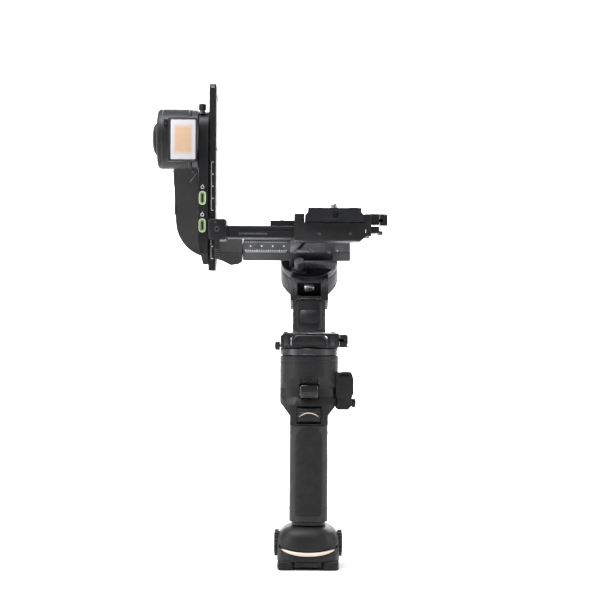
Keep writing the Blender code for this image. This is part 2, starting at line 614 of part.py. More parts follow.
def make_tilt():
    """Tilt rotor, arm block, upright rail and the two connector shells in the arm's front edge."""
    rotor = motor_rotor("tilt_rotor", TILT, TILT_LEFT + 4.5, TILT_RIGHT + GAP, ARM_LEFT - GAP, 25.3,
                        ALONG_X)
    pieces = [finish(rotor, "satin")]

    thick, mid = ARM_RIGHT - ARM_LEFT, (ARM_RIGHT + ARM_LEFT) / 2
    outline = arc(3, 372, 18, 18, 0, 90, 5) + arc(-3, 372, 18, 18, 90, 180, 5)
    outline += [(-21, 268), (-14, 259), (14, 259), (21, 268)]
    arm = plate("tilt_arm", outline, thick, (mid, 0, 0), SIDE)
    slant = [(-95.4, 278), (-91, 258), (-97, 258)]
    cut(arm, plate("arm_slant", slant, 60, (0, 0, 0), FRONT, helper=True))
    for title, z in zip(("usb_port_upper", "usb_port_lower"), PORT_HEIGHTS):
        cut(arm, plate(title + "_seat", soft_rectangle(6.4, 12.2, 2.8), 6, (PORT_X, -21.4, z), FRONT,
                       helper=True))
        shell = plate(title, soft_rectangle(5.8, 11.6, 2.6), 3.2, (PORT_X, -20.0, z), FRONT)
        cut(shell, plate(title + "_slot", soft_rectangle(2.6, 8.2, 1.2), 4, (PORT_X, -21.6, z), FRONT,
                         helper=True))
        pieces.append(finish(shell, "port"))
    pieces.append(finish(arm, "anodised"))

    half, lip, step = 17.0, 18.0, 1.1
    section = [(SLIDE_LEFT, -half), (SLIDE_LEFT + step, -half), (SLIDE_LEFT + step, -lip),
               (SLIDE_RIGHT - step, -lip), (SLIDE_RIGHT - step, -half), (SLIDE_RIGHT, -half)]
    section += [(x, -y) for x, y in reversed(section)]
    upright = plate("upright_rail", section, SLIDE_TOP - SLIDE_LOW,
                    (0, 0, (SLIDE_TOP + SLIDE_LOW) / 2))
    pieces.append(finish(upright, "anodised"))
    return pieces


def make_arm_knob():
    """Small knurled knob on top of the arm block."""
    knob = plate("arm_knob", knurled(3.3, 0.4, 12), 5.2, (KNOB_X, KNOB_Y, 393.0))
    return [finish(knob, "anodised")]


# Bracket: rides up and down the upright rail, and reaches under the camera -------------------------
BRACKET_PIN_X, BRACKET_PIN_Z = -78.8, 288.5


def make_bracket():
    """Clamp round the upright rail, made in one with the bar under the camera."""
    height = BRACKET_TOP - BRACKET_LOW
    bar = block("bracket", (138, 40, height), (-10, 0, BRACKET_LOW + height / 2), edge=0.8, steps=1)
    clamp = block("bracket_clamp", (15.4, 55, 18), (-78.7, 0, 288.5), edge=1.8, helper=True)
    add(bar, clamp)
    cut(bar, block("slide_way", (10, 36.8, 30), (-85.1, 0, 288), helper=True),
        block("bar_step", (20, 60, 8), (56, 0, 282.2), helper=True),
        block("bar_groove", (110, 2, 1.2), (-5, -20.2, 288.4), helper=True))
    slot = soft_rectangle(56, 7, 3.4, cx=-38)
    cut(bar, plate("bar_slot", slot, 30, (0, 0, 286), helper=True))
    return [finish(bar, "anodised")]


def make_bracket_lever():
    """Clamp lever hanging in front of the bracket, on a pin that points to the lens side."""
    arm = block("bracket_lever", (4.2, 3.4, 24), (BRACKET_PIN_X + 0.4, -29.9, 275.8), edge=1.0)
    boss = rod("bracket_boss", 5.4, 3.6, (BRACKET_PIN_X, -29.9, BRACKET_PIN_Z), ALONG_Y, sides=24,
               helper=True)
    add(arm, boss)
    return [finish(arm, "anodised")]


# Quick release: slides along the bracket, holds the camera plate ----------------------------------
QR_LEFT, QR_RIGHT = -13.6, 51.8
PLATE_X = 20.5
QR_LEVER_X, QR_LEVER_Y, QR_LEVER_Z = 62.6, 12.0, 297.4


def make_quick_release():
    """Quick-release base: tunnel for the bracket's bar, open channel for the plate, and a stop."""
    wide, mid = QR_RIGHT - QR_LEFT, (QR_RIGHT + QR_LEFT) / 2
    base = block("qr_base", (wide, 58, 23.2), (mid, 0, 290.6), edge=1.2)
    corner = [(41, 277), (47.5, 283.4), (54, 283.4), (54, 277)]
    cut(base, block("bar_tunnel", (90, 40.7, 11.1), (mid, 0, 286.8), helper=True),
        block("plate_channel", (50.6, 80, 20), (PLATE_X, 0, 304.7), helper=True),
        plate("base_corner", corner, 80, (0, 0, 0), FRONT, helper=True))
    add(base, block("base_stop", (21, 26, 4.2), (-23.6, 0, 294.8), helper=True),
        block("lever_block", (8.4, 26, 9), (54.8, -3, 298.3), helper=True),
        block("lever_lug", (13, 10, 1.2), (59.4, QR_LEVER_Y, 303.1), helper=True))
    return [finish(base, "anodised")]


def make_camera_plate():
    """Camera plate: winged section along the lens direction, with a hole for the camera screw."""
    section = [(-24.9, 295.1), (24.9, 295.1), (24.9, 300.2), (22.4, 302.8), (22.4, 306.4),
               (-22.4, 306.4), (-22.4, 302.8), (-24.9, 300.2)]
    body = plate("camera_plate", section, 92, (PLATE_X, 0, 0), FRONT)
    cut(body, rod("screw_hole", 3.6, 30, (PLATE_X, -6, 300), sides=20, helper=True),
        rod("head_hole", 6.8, 10, (PLATE_X, -6, 295.2), sides=24, helper=True),
        plate("plate_slot", soft_rectangle(7, 34, 3.4, cy=24), 30, (PLATE_X, 0, 300), helper=True))
    return [finish(body, "anodised")]


def make_camera_screw():
    """The screw that holds the camera, with its head in the plate's underside."""
    profile = [(0, 311.6), (2.6, 311.6), (3.1, 311.0), (3.1, 299.6), (6.2, 299.6), (6.2, 296.8),
               (0, 296.8)]
    return [finish(turned("camera_screw", profile, (PLATE_X, -6, 0), sides=20), "steel")]


# Assembly: one empty on each joint's axis carries the pieces that move together -------------------
def carrier(title, at, parent=None, home=WORLD):
    """An empty at a point, carried by another empty."""
    hub = bpy.data.objects.new(title + "_axis", None)
    PARTS.objects.link(hub)
    hub.empty_display_size = 10 * MM
    hub.matrix_world = home @ Matrix.Translation(Vector(at) * MM)
    if parent:
        carry(parent, [hub])
    return hub


def carry(hub, pieces):
    """Parents pieces to an empty without moving them."""
    bpy.context.view_layer.update()
    for piece in pieces:
        world = piece.matrix_world.copy()
        piece.parent = hub
        piece.matrix_parent_inverse = hub.matrix_world.inverted()
        piece.matrix_world = world


def build():
    """Makes every body, from the handle outwards."""
    handle = carrier("handle", (0, 0, 0))
    carry(handle, make_base() + make_grip() + make_head())
    controls = make_controls()
    spots = {
        "trigger": (0, -18.2, TRIGGER_Z), "front_dial": (0, DIAL_Y, DIAL_Z),
        "joystick": (0, STICK_Y, STICK_Z), "record_button": (RECORD_X, 22.9, BUTTON_Z),
        "mode_button": (MODE_X, 22.9, BUTTON_Z), "accessory_knob": (38.7, 0, 143),
    }
    for title, spot in spots.items():
        carry(carrier(title, spot, handle), controls[title])

    pan = carrier("pan", (0, 0, PAN_TOP), handle)
    carry(pan, make_pan())
    carry(carrier("pan_lever", (LEVER_X, LEVER_Y, LEVER_Z), pan),
          hook_lever("pan_clamp_lever", LEVER_X, LEVER_Y, LEVER_Z, 30))
    carry(carrier("pan_knob", (-27.2, 0, PAN_KNOB_Z), pan), make_pan_knob())

    pan_arm = carrier("pan_arm", (0, 0, 194.7), pan)
    carry(pan_arm, make_pan_arm())
    carry(carrier("roll_lock", (0, LATCH_Y, LATCH_Z), pan_arm), make_roll_lock())

    roll = carrier("roll", (0, 0, 0), pan_arm, ROLL)
    carry(roll, make_roll())
    carry(carrier("rail_lever", (CAM_X, CAM_W, CAM_Z), roll, ROLL), make_cam_lever())

    roll_arm = carrier("roll_arm", (0, 0, RAIL_Z), roll, ROLL)
    carry(roll_arm, make_roll_arm())
    carry(carrier("light_dial", (TILT_LEFT, 0, BALANCE_Z), roll_arm), make_light_dial())
    carry(carrier("tilt_lock", (TILT_LOCK_X, 28.9, BALANCE_Z + 9), roll_arm), make_tilt_lock())

    tilt = carrier("tilt", (ARM_LEFT, 0, BALANCE_Z), roll_arm)
    carry(tilt, make_tilt())
    carry(carrier("arm_knob", (KNOB_X, KNOB_Y, 393), tilt), make_arm_knob())

    bracket = carrier("bracket", (BRACKET_PIN_X, 0, BRACKET_PIN_Z), tilt)
    carry(bracket, make_bracket())
    carry(carrier("bracket_lever", (BRACKET_PIN_X, -29.9, BRACKET_PIN_Z), bracket),
          make_bracket_lever())

    release = carrier("quick_release", (PLATE_X, 0, 286.8), bracket)
    carry(release, make_quick_release())
    carry(carrier("qr_lever", (QR_LEVER_X, QR_LEVER_Y, QR_LEVER_Z), release),
          hook_lever("qr_lever", QR_LEVER_X, QR_LEVER_Y, QR_LEVER_Z, 26))

    plate_hub = carrier("camera_plate", (PLATE_X, 0, 300), release)
    carry(plate_hub, make_camera_plate())
    carry(carrier("camera_screw", (PLATE_X, -6, 300), plate_hub), make_camera_screw())


build()
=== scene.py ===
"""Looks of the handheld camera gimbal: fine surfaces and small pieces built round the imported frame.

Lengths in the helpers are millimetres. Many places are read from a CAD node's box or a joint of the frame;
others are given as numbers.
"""
import json
from math import cos, pi, radians, sin

import bmesh
import bpy
from mathutils import Matrix, Vector

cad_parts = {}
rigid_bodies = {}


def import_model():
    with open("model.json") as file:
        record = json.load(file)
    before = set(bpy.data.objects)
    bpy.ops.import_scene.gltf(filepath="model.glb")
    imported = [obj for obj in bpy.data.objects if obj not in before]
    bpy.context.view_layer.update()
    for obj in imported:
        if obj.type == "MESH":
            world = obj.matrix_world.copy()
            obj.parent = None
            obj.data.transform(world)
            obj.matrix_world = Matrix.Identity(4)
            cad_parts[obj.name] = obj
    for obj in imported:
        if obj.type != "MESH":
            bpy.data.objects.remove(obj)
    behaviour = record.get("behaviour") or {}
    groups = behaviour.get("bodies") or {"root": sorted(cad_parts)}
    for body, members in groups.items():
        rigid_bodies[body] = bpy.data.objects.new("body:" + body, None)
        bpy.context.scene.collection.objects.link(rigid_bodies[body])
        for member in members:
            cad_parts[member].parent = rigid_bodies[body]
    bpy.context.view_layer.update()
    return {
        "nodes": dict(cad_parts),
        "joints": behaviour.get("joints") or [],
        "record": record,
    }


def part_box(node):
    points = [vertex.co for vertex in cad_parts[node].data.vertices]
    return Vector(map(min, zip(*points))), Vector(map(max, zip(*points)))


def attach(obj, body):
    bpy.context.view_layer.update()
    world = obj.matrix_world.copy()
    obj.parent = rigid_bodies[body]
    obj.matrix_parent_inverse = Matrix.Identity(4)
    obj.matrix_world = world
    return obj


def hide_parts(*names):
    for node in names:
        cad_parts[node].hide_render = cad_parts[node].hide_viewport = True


MM = 0.001
WELD = 0.00001
SAME_SPOT = 0.05            # two points of a seam closer than this, in mm, are one

for leftover in list(bpy.data.objects):
    bpy.data.objects.remove(leftover, do_unlink=True)
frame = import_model()
NODES = frame["nodes"]
JOINTS = {joint["name"]: joint for joint in frame["joints"]}
SLOT_OF = {entry["node"]: entry["material_slot"] for entry in frame["record"]["subparts"]}


# Places -------------------------------------------------------------------------------------------
def corners(node):
    """Lowest and highest corner of a CAD node in millimetres."""
    low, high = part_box(node)
    return low / MM, high / MM


def middle(node):
    low, high = corners(node)
    return (low + high) / 2


def leaning_home():
    """The roll axis as a frame: local Z runs along it, local X is the object's X."""
    joint = JOINTS["roll"]
    up = Vector(joint["axis"]).normalized()
    right = Vector((1, 0, 0))
    back = up.cross(right)
    turn = Matrix((right, back, up)).transposed().to_4x4()
    return Matrix.Translation(Vector(joint["pos_m"])) @ turn


WORLD = Matrix.Identity(4)
ROLL = leaning_home()
FLAT = (0, 0, 0)
FRONT = (90, 0, 0)          # local XY faces the lens side
REAR = (90, 0, 180)         # local XY faces the operator
RIGHT = (90, 0, 90)         # local XY faces +X
LEFT = (90, 0, -90)         # local XY faces -X
UNDER = (180, 0, 0)


# Camera, stage and light --------------------------------------------------------------------------
VIEW_DISTANCE = 1.7
VIEW_WIDTH = 0.516          # metres across the picture at the pan axis
VIEW_CENTRE = (-0.0082, 0.229)
VIEW_ROLL = -0.35


def set_camera():
    """A long lens level with the clamps, looking along +Y."""
    data = bpy.data.cameras.new("view")
    data.sensor_width = 36
    data.lens = data.sensor_width * VIEW_DISTANCE / VIEW_WIDTH
    data.clip_end = 20
    camera = bpy.data.objects.new("view", data)
    bpy.context.scene.collection.objects.link(camera)
    x, z = VIEW_CENTRE
    camera.location = (x, -VIEW_DISTANCE, z)
    camera.rotation_euler = (radians(90), radians(VIEW_ROLL), 0)
    bpy.context.scene.camera = camera


def softbox(name, at, aim, size, power, tint=(1, 1, 1)):
    """A square area light pointed at a place."""
    data = bpy.data.lights.new(name, "AREA")
    data.shape = "RECTANGLE"
    data.size, data.size_y = size
    data.energy = power
    data.color = tint
    light = bpy.data.objects.new(name, data)
    bpy.context.scene.collection.objects.link(light)
    light.location = at
    light.rotation_euler = (Vector(aim) - Vector(at)).to_track_quat("-Z", "Y").to_euler()


def set_stage():
    """A pale floor that curves up into a backdrop, three softboxes and an even sky."""
    form = bmesh.new()
    sweep = [(-3.0, 0.0), (1.6, 0.0)]
    sweep += [(1.6 + 1.2 * sin(radians(a)), 1.2 - 1.2 * cos(radians(a))) for a in range(10, 91, 10)]
    sweep += [(2.8, 4.0)]
    rows = [[form.verts.new((x, y, z)) for y, z in sweep] for x in (-4, 4)]
    for i in range(len(sweep) - 1):
        form.faces.new((rows[0][i], rows[1][i], rows[1][i + 1], rows[0][i + 1]))
    mesh = as_mesh(form, "floor")
    mesh.shade_smooth()
    floor = bpy.data.objects.new("floor", mesh)
    bpy.context.scene.collection.objects.link(floor)
    paint = bpy.data.materials.new("floor")
    paint.use_nodes = True
    shader = paint.node_tree.nodes["Principled BSDF"]
    shader.inputs["Base Color"].default_value = (0.80, 0.80, 0.80, 1)
    shader.inputs["Roughness"].default_value = 0.9
    mesh.materials.append(paint)

    world = bpy.data.worlds.new("studio")
    world.use_nodes = True
    sky = world.node_tree.nodes["Background"]
    sky.inputs["Color"].default_value = (1.0, 1.0, 1.0, 1)
    sky.inputs["Strength"].default_value = 0.36
    bpy.context.scene.world = world
    bpy.context.scene.view_settings.view_transform = "Standard"
    aim = (0, 0, 0.22)
    softbox("key", (-0.7, -0.4, 2.2), aim, (1.3, 1.0), 62)
    softbox("left", (-1.5, -0.5, 0.7), aim, (0.5, 1.2), 15)
    softbox("right", (1.5, -0.4, 0.8), aim, (0.5, 1.2), 13)
    softbox("rim", (0.6, 1.3, 1.3), aim, (1.2, 0.6), 26)
    softbox("backdrop", (0, 1.3, 1.0), (0, 2.8, 0.8), (3.0, 1.2), 110)


# Materials ----------------------------------------------------------------------------------------
class Shader:
    """A small builder for one node material."""

    def __init__(self, name):
        self.material = bpy.data.materials.new(name)
        self.material.use_nodes = True
        self.tree = self.material.node_tree
        self.out = self.tree.nodes["Principled BSDF"]
        self.place = self.tree.nodes.new("ShaderNodeTexCoord").outputs["Object"]

    def set(self, socket, value):
        self.out.inputs[socket].default_value = value

    def link(self, source, target):
        self.tree.links.new(source, target)

    def drive(self, source, *sockets):
        """Feeds one source to sockets of the surface shader."""
        for socket in sockets:
            self.link(source, self.out.inputs[socket])

    def maths(self, operation, first, second=None):
        """One arithmetic node; the first value is a socket, the second a socket or a number."""
        node = self.tree.nodes.new("ShaderNodeMath")
        node.operation = operation
        self.link(first, node.inputs[0])
        if isinstance(second, bpy.types.NodeSocket):
            self.link(second, node.inputs[1])
        elif second is not None:
            node.inputs[1].default_value = second
        return node.outputs[0]

    def noise(self, scale, detail=3.0, rough=0.55, stretch=(1, 1, 1)):
        """Noise over the object's own coordinates, scale in features a metre."""
        node = self.tree.nodes.new("ShaderNodeTexNoise")
        node.inputs["Scale"].default_value = scale
        node.inputs["Detail"].default_value = detail
        node.inputs["Roughness"].default_value = rough
        if stretch != (1, 1, 1):
            warp = self.tree.nodes.new("ShaderNodeMapping")
            warp.inputs["Scale"].default_value = stretch
            self.link(self.place, warp.inputs["Vector"])
            self.link(warp.outputs["Vector"], node.inputs["Vector"])
        else:
            self.link(self.place, node.inputs["Vector"])
        return node.outputs["Fac"]

    def spread(self, source, low, high, start=0.3, stop=0.7):
        """Maps a value between two others."""
        node = self.tree.nodes.new("ShaderNodeMapRange")
        for socket, value in (("From Min", start), ("From Max", stop), ("To Min", low), ("To Max", high)):
            node.inputs[socket].default_value = value
        self.link(source, node.inputs["Value"])
        return node.outputs["Result"]

    def mix(self, factor, first, second):
        """Blends two colours; either may be a socket."""
        node = self.tree.nodes.new("ShaderNodeMix")
        node.data_type = "RGBA"
        for socket, colour in ((6, first), (7, second)):
            if isinstance(colour, bpy.types.NodeSocket):
                self.link(colour, node.inputs[socket])
            else:
                node.inputs[socket].default_value = (*colour[:3], 1)
        self.link(factor, node.inputs[0])
        return node.outputs[2]

    def bump(self, source, strength, distance):
        """Adds a height to the surface, over any bump that is there already."""
        node = self.tree.nodes.new("ShaderNodeBump")
        node.inputs["Strength"].default_value = strength
        node.inputs["Distance"].default_value = distance
        before = self.out.inputs["Normal"]
        if before.is_linked:
            self.link(before.links[0].from_socket, node.inputs["Normal"])
        self.link(source, node.inputs["Height"])
        self.link(node.outputs["Normal"], before)


def scaled(colour, factor):
    return tuple(min(1.0, part * factor) for part in colour)


def finish_of(name, colour, rough, metal=0.0, grain=0.12, fine=3200, brushed=None, coat=0.0,
              sheen=0.0, shine=0.35):
    """A grained surface: mottled colour with pale specks, uneven gloss and a fine bump."""
    shader = Shader(name)
    shader.set("Metallic", metal)
    shader.set("Specular IOR Level", shine)
    shader.set("Coat Weight", coat)
    shader.set("Coat Roughness", 0.12)
    shader.set("Sheen Weight", sheen)
    cloud = shader.noise(45, 4)
    speck = shader.noise(fine, 2, 0.7)
    shade = shader.mix(shader.spread(cloud, 0, 1), scaled(colour, 0.82), scaled(colour, 1.18))
    shade = shader.mix(shader.spread(speck, 0, 0.35, 0.45, 0.8), shade, scaled(colour, 1.9))
    shader.drive(shade, "Base Color")
    shader.drive(shader.spread(shader.noise(160, 4), rough - 0.07, rough + 0.07), "Roughness")
    if brushed:
        shader.bump(shader.noise(220, 2, 0.6, brushed), 0.10, 0.00004)
    shader.bump(speck, grain, 0.00006)
    return shader.material


def glow_of(name, colour, strength):
    """A glowing part: a lit translucent part, or painted glow on a part that is no lamp."""
    shader = Shader(name)
    cloud = shader.noise(300, 2)
    shade = shader.mix(shader.spread(cloud, 0, 1), scaled(colour, 0.95), colour)
    shader.drive(shade, "Base Color", "Emission Color")
    shader.set("Emission Strength", strength)
    shader.set("Roughness", 0.45)
    return shader.material


def windings():
    """Lacquered copper wire, wound in fine turns."""
    shader = Shader("copper_windings")
    wave = shader.tree.nodes.new("ShaderNodeTexWave")
    wave.inputs["Scale"].default_value = 900
    wave.inputs["Distortion"].default_value = 1.5
    shader.link(shader.place, wave.inputs["Vector"])
    shade = shader.mix(wave.outputs["Fac"], (0.30, 0.11, 0.05), (0.72, 0.33, 0.17))
    shader.drive(shade, "Base Color")
    shader.set("Metallic", 0.9)
    shader.set("Roughness", 0.35)
    shader.bump(wave.outputs["Fac"], 0.5, 0.0002)
    return shader.material


BORDER = (0.58, 0.80)       # where the fill light starts and ends its fade, as a share of its half size


def diffuser():
    """The fill light: a warm middle that fades to a white border."""
    low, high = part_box("light_panel")
    centre, half = (low + high) / 2, (high - low) / 2
    shader = Shader("fill_light")
    split = shader.tree.nodes.new("ShaderNodeSeparateXYZ")
    shader.link(shader.place, split.inputs[0])
    reach = []
    for axis in (0, 2):
        shift = shader.maths("SUBTRACT", split.outputs[axis], centre[axis])
        reach.append(shader.maths("ABSOLUTE", shader.maths("DIVIDE", shift, half[axis])))
    far = shader.maths("MAXIMUM", *reach)
    border = shader.spread(far, 0, 1, *BORDER)
    cloud = shader.spread(shader.noise(220, 3), 0, 1)
    warm = shader.mix(cloud, (0.49, 0.33, 0.215), (0.52, 0.36, 0.245))
    shade = shader.mix(border, warm, (0.50, 0.49, 0.52))
    shader.drive(shade, "Base Color", "Emission Color")
    shader.set("Emission Strength", 0.20)
    shader.set("Roughness", 0.35)
    shader.bump(shader.noise(2600, 2), 0.08, 0.00005)
    return shader.material


def make_palette():
    """One material for each of the record's slots, and a few for small pieces."""
    return {
        "plastic": finish_of("black_plastic", (0.010, 0.010, 0.011), 0.46, grain=0.22,
                             shine=0.26),
        "soft_grip": finish_of("soft_touch", (0.013, 0.013, 0.014), 0.60, grain=0.45, fine=2200,
                               sheen=0.06),
        "gloss": finish_of("gloss_plastic", (0.008, 0.008, 0.009), 0.22, grain=0.03, coat=0.35),
        "anodised": finish_of("anodised", (0.015, 0.015, 0.0165), 0.40, metal=0.35, grain=0.16, fine=5200),
        "satin": finish_of("satin_metal", (0.055, 0.056, 0.060), 0.34, metal=0.8, grain=0.06,
                           brushed=(1, 14, 14), shine=0.5),
        "steel": finish_of("steel", (0.42, 0.42, 0.44), 0.30, metal=1.0, grain=0.05,
                           brushed=(14, 1, 1)),
        "brass": finish_of("brass", (0.62, 0.42, 0.16), 0.32, metal=1.0, grain=0.05),
        "copper": windings(),
        "rubber": finish_of("rubber", (0.008, 0.008, 0.008), 0.80, grain=0.5, fine=1800, sheen=0.03),
        "light": glow_of("strip_light", (0.62, 0.52, 0.44), 0.22),
        "tip": finish_of("bare_aluminium", (0.30, 0.30, 0.31), 0.35, metal=0.9, grain=0.05, shine=0.5),
        # near-black; on the pan arm's front end it is painted shade
        "near_black_and_painted_shade": finish_of("near_black_and_painted_shade", (0.006, 0.006, 0.006), 0.40, grain=0.10),
        "dial_light": glow_of("dial_light", (0.62, 0.50, 0.42), 0.30),
        # the USB port rims glow: painted glow standing in for their lit metal shells
        "port_rim_painted_glow": glow_of("port_rim_painted_glow", (0.42, 0.56, 0.34), 0.12),
        "port_well": finish_of("port_well", (0.020, 0.024, 0.010), 0.5, grain=0.05),
        "lit_mark": glow_of("lit_mark", (0.75, 0.85, 0.92), 0.5),
        "screw": finish_of("dark_steel", (0.10, 0.10, 0.105), 0.32, metal=0.9, grain=0.05, shine=0.5),
        "diffuser": diffuser(),
        "port": finish_of("port_shell", (0.30, 0.38, 0.20), 0.42, grain=0.05),
        "cell": finish_of("cell_wrap", (0.05, 0.16, 0.34), 0.38, grain=0.04, coat=0.3),
        "glass": finish_of("window", (0.008, 0.009, 0.012), 0.08, grain=0.01, coat=1.0),
        "mark": finish_of("white_ink", (0.75, 0.75, 0.75), 0.60, grain=0.05),
        "dim_mark": finish_of("grey_ink", (0.20, 0.20, 0.21), 0.55, grain=0.05),
        "dark": finish_of("shadow_gap", (0.004, 0.004, 0.004), 0.70, grain=0.05),
    }


PALETTE = make_palette()
ROUND_EDGE = {"plastic": 0.45, "soft_grip": 0.5, "gloss": 0.4, "anodised": 0.35, "satin": 0.3,
              "rubber": 0.6, "steel": 0.25}


def dress_nodes():
    """Gives every CAD node its material, soft shading and rounded edges, without moving a point."""
    for node, piece in NODES.items():
        slot = SLOT_OF[node]
        mesh = piece.data
        mesh.materials.clear()
        mesh.materials.append(PALETTE[slot])
        old = mesh.attributes.get("custom_normal")
        if old:
            mesh.attributes.remove(old)
        mesh.shade_smooth()
        weld = piece.modifiers.new("weld", "WELD")
        weld.merge_threshold = WELD
        flat = piece.modifiers.new("flatten", "DECIMATE")
        flat.decimate_type = "DISSOLVE"
        flat.angle_limit = radians(1.0)
        edge = piece.modifiers.new("edges", "BEVEL")
        edge.width = ROUND_EDGE.get(slot, 0.25) * MM
        edge.segments = 2
        edge.limit_method = "ANGLE"
        edge.angle_limit = radians(32)
        edge.harden_normals = True
        edge.use_clamp_overlap = True


# Workshop for the small pieces --------------------------------------------------------------------
def spun(turn):
    """A turn in degrees about X, then Y, then Z."""
    turn = [radians(angle) for angle in turn]
    spin = Matrix.Rotation(turn[2], 4, "Z") @ Matrix.Rotation(turn[1], 4, "Y")
    return spin @ Matrix.Rotation(turn[0], 4, "X")


def settle(name, mesh, body, ink, at=(0, 0, 0), turn=FLAT, home=WORLD, angle=32):
    """Places a finished mesh, gives it a material and hangs it on a CAD body."""
    mesh.materials.clear()
    mesh.materials.append(PALETTE[ink])
    mesh.shade_smooth()
    mesh.set_sharp_from_angle(angle=radians(angle))
    piece = bpy.data.objects.new(name, mesh)
    bpy.context.scene.collection.objects.link(piece)
    piece.matrix_world = home @ Matrix.Translation(Vector(at) * MM) @ spun(turn)
    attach(piece, body)
    return piece


def arc(cx, cy, rx, ry, start, end, count):
    """Points along an elliptical arc, angles in degrees."""
    spots = []
    for i in range(count + 1):
        angle = radians(start + (end - start) * i / count)
        spots.append((cx + rx * cos(angle), cy + ry * sin(angle)))
    return spots


def as_mesh(form, name):
    """Turns a form into a mesh as it stands."""
    mesh = bpy.data.meshes.new(name)
    form.to_mesh(mesh)
    form.free()
    return mesh


def sealed(form, name):
    """Turns a form into a mesh whose faces all look outwards."""
    bmesh.ops.recalc_face_normals(form, faces=form.faces)
    return as_mesh(form, name)


def tube_of(form, rings, name):
    """Closes a row of rings into a tube with flat ends."""
    for first, second in zip(rings, rings[1:]):
        for i in range(len(first)):
            j = (i + 1) % len(first)
            form.faces.new((first[i], first[j], second[j], second[i]))
    form.faces.new(rings[0])
    form.faces.new(rings[-1])
    return sealed(form, name)


def soft_rectangle(wide, deep, corner, cx=0.0, cy=0.0, count=4):
    spots = []
    for sx, sy, start in ((1, 1, 0), (-1, 1, 90), (-1, -1, 180), (1, -1, 270)):
        spots += arc(cx + sx * (wide / 2 - corner), cy + sy * (deep / 2 - corner), corner, corner,
                     start, start + 90, count)
    return spots


def slab(outline, thick, edge=0.15):
    """A closed plate with its outline in local XY and its face at z = 0, rims rounded."""
    form = bmesh.new()
    base = [form.verts.new((x * MM, y * MM, -thick * MM)) for x, y in outline]
    face = form.faces.new(base)
    raised = bmesh.ops.extrude_face_region(form, geom=[face])
    bmesh.ops.translate(form, vec=(0, 0, thick * MM),
                        verts=[v for v in raised["geom"] if isinstance(v, bmesh.types.BMVert)])
    bmesh.ops.recalc_face_normals(form, faces=form.faces)
    if edge:
        rim = [e for e in form.edges if all(abs(v.co.z) < 1e-7 for v in e.verts)]
        bmesh.ops.bevel(form, geom=rim, offset=edge * MM, segments=2, profile=0.5, affect="EDGES",
                        clamp_overlap=True)
    return as_mesh(form, "slab")


def lathe(profile, sides=48):
    """A turned mesh about local Z; the profile is (radius, height), outer side from the top down."""
    form = bmesh.new()
    rings = []
    for r, z in profile:
        if r == 0:
            rings.append([form.verts.new((0, 0, z * MM))])
        else:
            rings.append([form.verts.new((r * cos(2 * pi * i / sides) * MM,
                                          r * sin(2 * pi * i / sides) * MM, z * MM))
                          for i in range(sides)])
    closed = profile[0][0] > 0
    pairs = list(zip(rings, rings[1:] + rings[:1] if closed else rings[1:]))
    for first, second in pairs:
        for i in range(sides):
            j = (i + 1) % sides
            corner = [first[i % len(first)], second[i % len(second)], second[j % len(second)],
                      first[j % len(first)]]
            distinct = list(dict.fromkeys(corner))
            if len(distinct) > 2:
                form.faces.new(distinct)
    return sealed(form, "lathe")


def merged(meshes):
    """Joins (mesh, matrix) pairs into one mesh and drops the originals."""
    form = bmesh.new()
    for mesh, matrix in meshes:
        part = bmesh.new()
        part.from_mesh(mesh)
        bmesh.ops.transform(part, matrix=matrix, verts=part.verts)
        spare = bpy.data.meshes.new("spare")
        part.to_mesh(spare)
        part.free()
        form.from_mesh(spare)
        bpy.data.meshes.remove(spare)
        bpy.data.meshes.remove(mesh)
    return as_mesh(form, "merged")


def at_place(x, y, z, turn=FLAT):
    return Matrix.Translation(Vector((x, y, z)) * MM) @ spun(turn)


def hex_lathe(profile, sides=24):
    """A turned mesh whose rings may be six-sided: the profile is (radius, height, is_hex)."""
    form = bmesh.new()
    rings = []
    for r, z, is_hex in profile:
        ring = []
        for i in range(sides):
            angle = 2 * pi * i / sides
            reach = r / cos((angle + pi / 6) % (pi / 3) - pi / 6) if is_hex else r
            ring.append(form.verts.new((reach * cos(angle) * MM, reach * sin(angle) * MM, z * MM)))
        rings.append(ring)
    for first, second in zip(rings, rings[1:]):
        for i in range(sides):
            j = (i + 1) % sides
            form.faces.new((first[i], second[i], second[j], first[j]))
    form.faces.new(rings[0])
    form.faces.new(list(reversed(rings[-1])))
    return sealed(form, "screw")


def screw_mesh(r=1.7, proud=0.5):
    """Cap screw head with a hexagonal socket, its underside sunk a little below z = 0."""
    key = r * 0.5
    return hex_lathe([(r, -0.4, False), (r, proud - 0.2, False), (r - 0.2, proud, False),
                      (key, proud, True), (key, proud - 0.45, True)])


def rod_mesh(spots, radius, sides=10):
    """A round wire through a list of points, with flat ends."""
    form = bmesh.new()
    spots = [Vector(spot) for spot in spots]
    rings = []
    for i, spot in enumerate(spots):
        ahead = (spots[min(i + 1, len(spots) - 1)] - spots[max(i - 1, 0)]).normalized()
        side = ahead.orthogonal().normalized() if abs(ahead.z) > 0.95 else \
            ahead.cross(Vector((0, 0, 1))).normalized()
        rise = side.cross(ahead)
        size = radius[i] if isinstance(radius, (list, tuple)) else radius
        rings.append([form.verts.new((spot + (side * cos(2 * pi * k / sides)
                                              + rise * sin(2 * pi * k / sides)) * size) * MM)
                      for k in range(sides)])
    return tube_of(form, rings, "rod")


def ring_mesh(outer, inner, low, high, sides=64):
    soft = min(0.15, (high - low) / 4)
    return lathe([(outer - soft, high), (outer, high - soft), (outer, low + soft), (outer - soft, low),
                  (inner, low), (inner, high)], sides)


def collar(radius, tall):
    """A thin trim ring that stands just proud of a motor of this radius."""
    return ring_mesh(radius + 0.15, radius - 0.5, 0, tall, 96)


